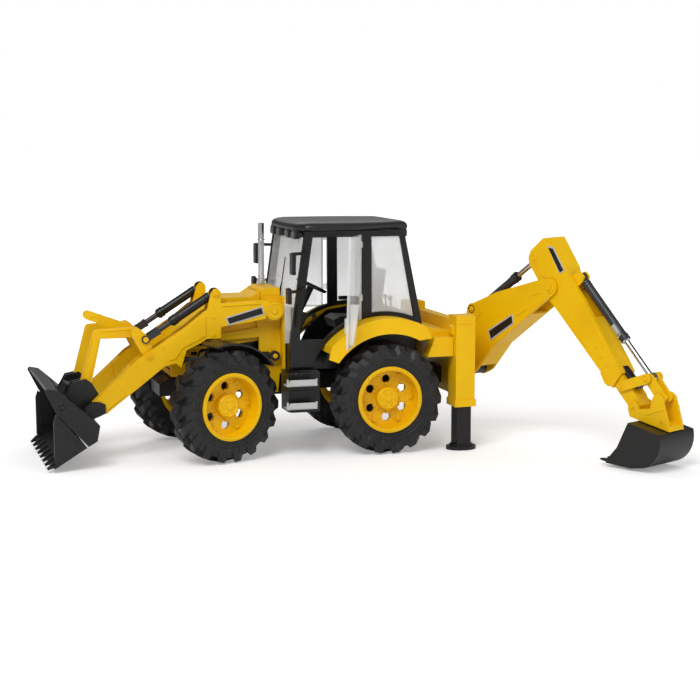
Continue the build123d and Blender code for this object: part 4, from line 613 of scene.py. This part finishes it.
# %% Screws, ribs and caps at the rear
LEG_X, LEG_Y, HOUSING_FACE = -66.5, 62.5, 72.0
parts = [button(1.0, 0.5, (x, 72.9, 40.4), (0, 1, 0)) for x in (-58.4, -74.8)]
parts.append(bead(1.6, 0.35, (-57.0, LEG_Y, 102.6), (1, 0, 0), 24))
lid = rounded((LEG_X, 110.0), 12.5, 5.0, 1.0)
put("housing_screws", "chassis", "yellow",
    both_sides(parts) + both_faces(lid, SIDE_PLANE, HOUSING_FACE, 0.4))
for name, side in (("left", 1), ("right", -1)):
    parts = [button(1.2, 0.9, (x, side * LEG_Y, 3.0), (0, 0, 1), 6) for x in (LEG_X - 8.5, LEG_X + 8.5)]
    parts += [rod([(x, side * 69.72, z) for z in (6.0, 20.0, 34.0)], 0.18)
              for x in (LEG_X - 3.5, LEG_X + 3.5)]
    put(f"foot_bolts_{name}", f"{name}_stabiliser", "black", parts)
parts = [button(1.4, 0.8, (-79.5, y, z), (-1, 0, 0), 6) for y in (-16.0, 16.0) for z in (50.0, 98.0)]
put("carriage_bolts", "carriage", "black", parts)
put("kingpost_cap", "kingpost", "black", [button(2.6, 1.0, (-92.0, 0.0, 101.7), (0, 0, 1), 6)])

# %% [markdown]
# ## The cab
# The mirrors have a bright film behind their rims, the lamps three fine ribs
# in the lens, and the windscreen its wiper.  Inside are the dials, the levers
# and the pads of the seat, and the clear windows let them show.

# %% Mirror glass, lamp ribs, wiper and grab rails
MIRROR_HEADS = (
    # x and y of the head, height of its middle, height of the glass
    (80.8, 62.5, 160.5, 14.4),
    (83.7, 60.0, 134.0, 9.6),
)
glass, rims = [], []
for x, y, z, tall in MIRROR_HEADS:
    glass.append(plate(rounded((y, z), 8.0, tall, 1.6), FRONT_PLANE, x - 1.5, x - 1.85, 0.1))
    rims.append(bead(1.5, 0.3, (x, y, z + tall / 2 + 1.7), (0, 0, 1), 20))
put("mirror_glass", "chassis", "mirror", both_sides(glass))
put("mirror_collars", "chassis", "black", both_sides(rims))
parts = []
for y in (14.0, 35.0):
    parts += [rod([(73.85, y + shift, z) for z in (180.4, 182.4, 184.6)], 0.28, 8)
              for shift in (-2.4, 0.0, 2.4)]
put("lamp_ribs", "chassis", "lamp", both_sides(parts))
parts = [rod([(79.6, -6.0, 106.0), (76.3, -0.5, 131.0), (74.6, 4.0, 141.0)], 0.55),
         rod([(76.9, 4.6, 127.0), (74.4, 4.3, 144.0), (71.7, 4.0, 162.0)], 0.45),
         button(1.8, 1.2, (79.3, -6.0, 105.6), (0.99, 0, 0.15))]
put("wiper", "chassis", "black", parts)
rail = [(75.6, 52.6, 108.0), (75.9, 54.2, 110.0), (74.4, 54.2, 124.0), (73.8, 52.6, 126.0)]
put("grab_rails", "chassis", "black", both_sides([rod(rail, 0.7)]))
pane = rounded((80.6, 113.5), 5.0, 40.0, 1.0)
put("windscreen_returns", "chassis", "clear", both_faces(pane, SIDE_PLANE, 44.5, 0.7, 0.2))

# %% The moulded roof
def softened(outline, cuts):
    """Cuts a closed outline's corners at a quarter and three quarters of each side."""
    points = np.array(outline, float)
    for _ in range(cuts):
        after = np.roll(points, -1, axis=0)
        points = np.stack((0.75 * points + 0.25 * after, 0.25 * points + 0.75 * after), 1).reshape(-1, 2)
    return points


ROOF_LOW, ROOF_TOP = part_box("cab_frame")[1][2] / MM + 0.05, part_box("roof")[1][2] / MM
half_plan = [(-27.5, 36), (-24, 40), (13, 53), (64, 53), (70, 47), (74, 36)]
plan = softened(half_plan + [(x, -y) for x, y in reversed(half_plan)], 3)
EDGE = (
    # share of the roof's height, inset from the plan
    (0.0, 1.6), (0.06, 0.5), (0.2, 0.0), (0.42, 0.1), (0.62, 0.9),
    (0.78, 2.4), (0.9, 5.0), (0.97, 9.0), (1.0, 15.0),
)
middle = np.array((24.0, 0.0))
spread = (plan - middle) / np.linalg.norm(plan - middle, axis=1)[:, None]
n, last = len(plan), (len(EDGE) - 1) * len(plan)
rings = [np.column_stack((plan - inset * spread, np.full(n, ROOF_LOW + share * (ROOF_TOP - ROOF_LOW))))
         for share, inset in EDGE]
cover = (np.vstack(rings), grid(len(EDGE), n) + [tuple(range(n)), tuple(range(last, last + n))])
pods = [plate(rounded((x, y), 5.2, 10.0, 1.2), TOP_PLANE, 187.0, 179.2, 0.8)
        for x, row in ((70.8, (14.0, 35.0)), (-23.6, (31.0,))) for y in row]
brow = plate(rounded((0.0, 183.4), 84.0, 5.6, 2.4), FRONT_PLANE, 66.4, 69.6, 1.2)
roof_cover = put("roof_cover", "chassis", "roof", [cover, brow] + both_sides(pods), 50.0)
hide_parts("roof")

# %% The door rims
DOORS = (
    # name, how far it stands open
    ("left", 60.0),
    ("right", 0.0),
)
DOOR_RIM = [(3.0, 113.5), (19.5, 113.5), (24.6, 103.8), (31.5, 100.2), (38.6, 94.6), (50.6, 94.4),
            (51.0, 97.4), (40.4, 182.0), (3.0, 182.0), (3.0, 113.5)]
GRIP = [(-8.5, 129.0), (-0.4, 129.0), (-0.4, 96.0), (-3.6, 96.0), (-7.6, 124.5)]
for name, open_by in DOORS:
    hinge = np.array(joints[f"{name}_door_hinge"]["pos_m"]) / MM * (1, 1, 0)
    ahead = np.array((cos(radians(open_by)), sin(radians(open_by)), 0.0))
    normal = np.array((ahead[1], -ahead[0], 0.0))
    door_plane = (hinge, ahead, (0, 0, 1), normal)
    parts = [rib(door_plane, first, last, lift, 0.45, 3, 8)
             for lift in (0.6, -0.6) for first, last in zip(DOOR_RIM, DOOR_RIM[1:])]
    parts += [rib(door_plane, (8.0, height), (36.0, height), 0.6, 0.3, 3, 8)
              for height in (118.0, 120.5, 123.0)]
    parts.append(plate(GRIP, (hinge, normal, (0, 0, 1), ahead), 41.2, 45.2, 0.6))
    put(f"door_rim_{name}", f"{name}_door", "clear", parts)

# %% Seat pads, dials, levers and pedals
BACK = ((0, 0, 0), (0, 1, 0), (-0.26, 0, 0.966), (0.966, 0, 0.26))
parts = [plate(rounded((x, 0.0), 5.0, 24.0, 1.4), TOP_PLANE, 108.6, 110.6, 0.6) for x in (10.0, 16.4, 22.8)]
parts += [plate(rounded((0.0, 118.0 + 8.4 * k), 24.0, 6.8, 1.6), BACK, 28.6, 30.2, 0.6) for k in range(4)]
for side in (1, -1):
    parts += [rod([(-4, side * 17.4, 122), (8, side * 17.4, 123.5), (18, side * 17.4, 123.5)], 1.7),
              rod([(-4, side * 16.2, 112), (-4, side * 17.4, 118), (-4, side * 17.4, 122)], 1.0)]
put("seat_pads", "chassis", "black", parts)
DASH_UP = (-0.32, 0, 0.947)
parts = [bead(2.4, 0.4, (60.2, y, 116.4), DASH_UP, 28) for y in (-9.0, 9.0)]
parts += [rod([(62.0, 11.0, 100.0), (52.0, 12.5, 104.0), (49.0, 12.8, 112.0)], 0.7),
          button(1.7, 3.0, (49.0, 12.8, 111.0), (0, 0, 1))]
for y in (-12.0, -5.0, 8.0):
    parts += [plate(rounded((57.0, y), 7.0, 4.6, 1.0), TOP_PLANE, 76.4, 77.8, 0.4),
              rod([(60.0, y, 77.0), (62.0, y, 82.0), (64.0, y, 86.0)], 0.7)]
put("dials_and_pedals", "chassis", "black", parts)
parts = [plate(rounded((-24.0, 0.0), 9.0, 26.0, 1.5), TOP_PLANE, 74.0, 108.2, 0.6)]
for y in (-7.0, 7.0):
    parts += [rod([(-24.0, y, 108.0), (-22.0, y, 118.0), (-21.4, y, 124.0)], 0.8),
              button(1.9, 3.4, (-21.4, y, 123.0), (0.1, 0, 1))]
put("rear_console", "chassis", "black", parts)

# %% [markdown]
# ## Steps, bonnet and underside
# The silver treads have raised grips and a broad front edge.  The bonnet has
# a latch on each side and two smoked lamps in its nose, and screws close the
# frame from below, where a toy is put together.

# %% Tread grips, caps, latches and screws
BOX_FACE, TREAD_FACE = 60.0, 71.5
parts = []
for low in (42.05, 61.05):
    grips = [rod([(66.0 + 3.2 * k, y, low + 1.25) for y in (62.0, 65.6, 69.4)], 0.35, 8) for k in range(7)]
    front = rounded((75.4, low + 3.0), 22.0, 4.8, 0.8)
    parts += both_sides(grips) + both_faces(front, SIDE_PLANE, TREAD_FACE, 0.5, 0.2)
put("tread_grips", "chassis", "silver", parts)
cap = [(3.0, -0.2), (3.0, 0.8), (2.4, 1.2), (1.6, 1.2), (1.5, 0.8)]
parts = both_sides([lathe(cap, (76.2, BOX_FACE, 67.6), (0, 1, 0))])
parts += both_faces(rounded((72.6, 51.2), 21.0, 10.0, 1.2), SIDE_PLANE, BOX_FACE, 0.5)
parts += both_faces(rounded((62.6, 66.0), 7.0, 5.0, 1.0), SIDE_PLANE, BOX_FACE, 0.4)
put("box_caps", "chassis", "black", parts)
BONNET_FACE = 21.0
latch = rounded((155.0, 84.8), 5.0, 3.0, 0.8)
put("bonnet_latches", "bonnet", "black", both_faces(latch, SIDE_PLANE, BONNET_FACE, 0.8))
lens = plate(rounded((17.6, 88.4), 3.4, 4.6, 1.0), FRONT_PLANE, 173.9, 174.6, 0.3)
put("nose_lamps", "bonnet", "lamp", both_sides([lens]))
parts = [button(1.5, 0.6, (x, 9.0, 50.0), (0, 0, -1)) for x in (-58.0, -24.0, 30.0, 92.0, 166.0)]
put("frame_screws", "chassis", "silver", both_sides(parts))
parts = [bead(3.1, 0.35, (88.0, -15.0, z), (0, 0, 1), 32) for z in (144.5, 176.0)]
put("exhaust_bands", "chassis", "chrome", parts)

# %% [markdown]
# ## Stage, light and camera
# Toys are often photographed on a white acrylic table that is lit from below,
# so the background goes white and the shadows stay faint.  The floor glows for
# the camera only, so that it doesn't light the toy from below, and its glow is
# weaker near the middle: a painted shade that darkens the shadow under the toy.
# One broad soft lamp stands at the front left and above, two weaker ones fill
# in, and an even pale world gives the rest.


# %% Floor, lamps and world
def sheet_mesh(name, corners):
    """A flat face through its corners."""
    mesh = bpy.data.meshes.new(name)
    mesh.from_pydata(corners, [], [tuple(range(len(corners)))])
    piece = bpy.data.objects.new(name, mesh)
    bpy.context.scene.collection.objects.link(piece)
    return piece


FLOOR_SIZE = 12.0
floor = sheet_mesh("floor", [(x * FLOOR_SIZE, y * FLOOR_SIZE, -0.2 * MM)
                             for x, y in ((-1, -1), (1, -1), (1, 1), (-1, 1))])
acrylic, tree, place = start("lit_white_acrylic_table")
fibre = add(tree, "ShaderNodeTexNoise", inputs={"Vector": place, "Scale": 60.0})
soft = add(tree, "ShaderNodeMapRange", inputs={"Value": fibre.outputs["Fac"], "To Min": 0.92, "To Max": 1.0})
seen = add(tree, "ShaderNodeLightPath").outputs["Is Camera Ray"]
# The glow grows with the distance from the middle, so it is weakest under the toy: a painted shade that darkens
# the floor's shadow there.
away = add(tree, "ShaderNodeVectorMath", {"operation": "LENGTH"}, {"Vector": place})
fade = add(tree, "ShaderNodeMapRange", inputs={"Value": away.outputs["Value"], "From Min": 0.3,
                                               "From Max": 1.0, "To Min": 0.26, "To Max": 0.72})
backdrop_glow_and_painted_shade = add(tree, "ShaderNodeMath", {"operation": "MULTIPLY"}, {0: seen, 1: fade.outputs["Result"]})
sheen = add(tree, "ShaderNodeBsdfPrincipled",
            inputs={"Base Color": linear("#F4F4F4"), "Roughness": soft.outputs["Result"],
                    "Emission Color": (1.0, 1.0, 1.0, 1.0), "Emission Strength": backdrop_glow_and_painted_shade.outputs["Value"]})
end(tree, sheen.outputs["BSDF"])
floor.data.materials.append(acrylic)


def lamp(name, place, target, size, watts):
    """A square soft lamp aimed at a point."""
    light = bpy.data.lights.new(name, "AREA")
    light.shape, light.size, light.energy = "SQUARE", size, watts
    holder = bpy.data.objects.new(name, light)
    bpy.context.scene.collection.objects.link(holder)
    holder.location = place
    holder.rotation_euler = (Vector(target) - Vector(place)).to_track_quat("-Z", "Y").to_euler()
    return holder


MIDDLE = (0.05, 0.02, 0.08)
lamp("key", (0.85, 1.2, 1.5), MIDDLE, 1.0, 25.0)
lamp("fill", (-1.3, 1.1, 0.7), MIDDLE, 1.2, 5.0)
lamp("back", (-0.2, -1.3, 1.2), MIDDLE, 1.2, 6.0)

world = bpy.data.worlds.new("pale_room")
bpy.context.scene.world = world
world.use_nodes = True
room = world.node_tree
room.nodes.clear()
WHITE, ROOM, GLOSS_LOSS = (1.0, 1.0, 1.0, 1.0), 0.42, 0.3
path = add(room, "ShaderNodeLightPath")
dim = add(room, "ShaderNodeMath", {"operation": "MULTIPLY_ADD"},
          {0: path.outputs["Is Glossy Ray"], 1: -GLOSS_LOSS, 2: ROOM})
air = add(room, "ShaderNodeBackground", inputs={"Color": WHITE, "Strength": dim.outputs["Value"]})
backdrop = add(room, "ShaderNodeBackground", inputs={"Color": WHITE, "Strength": 1.0})
both = add(room, "ShaderNodeMixShader",
           inputs={0: path.outputs["Is Camera Ray"], 1: air.outputs["Background"],
                   2: backdrop.outputs["Background"]})
add(room, "ShaderNodeOutputWorld", inputs={"Surface": both.outputs["Shader"]})
print("three lamps and a pale room")

# %% The camera
CAMERA_PLACE = (0.42258, 1.33629, 0.26675)
CAMERA_TURN = radians(17.04)
CAMERA_DIP = radians(7.63)
look = Vector((-sin(CAMERA_TURN) * cos(CAMERA_DIP), -cos(CAMERA_TURN) * cos(CAMERA_DIP), -sin(CAMERA_DIP)))
eye = bpy.data.cameras.new("camera")
eye.sensor_width, eye.lens = 36.0, 83.59
camera = bpy.data.objects.new("camera", eye)
bpy.context.scene.collection.objects.link(camera)
camera.location = CAMERA_PLACE
camera.rotation_euler = look.to_track_quat("-Z", "Y").to_euler()
bpy.context.scene.camera = camera
bpy.context.scene.view_settings.view_transform = "Standard"
print("camera looks along", [round(c, 3) for c in look])
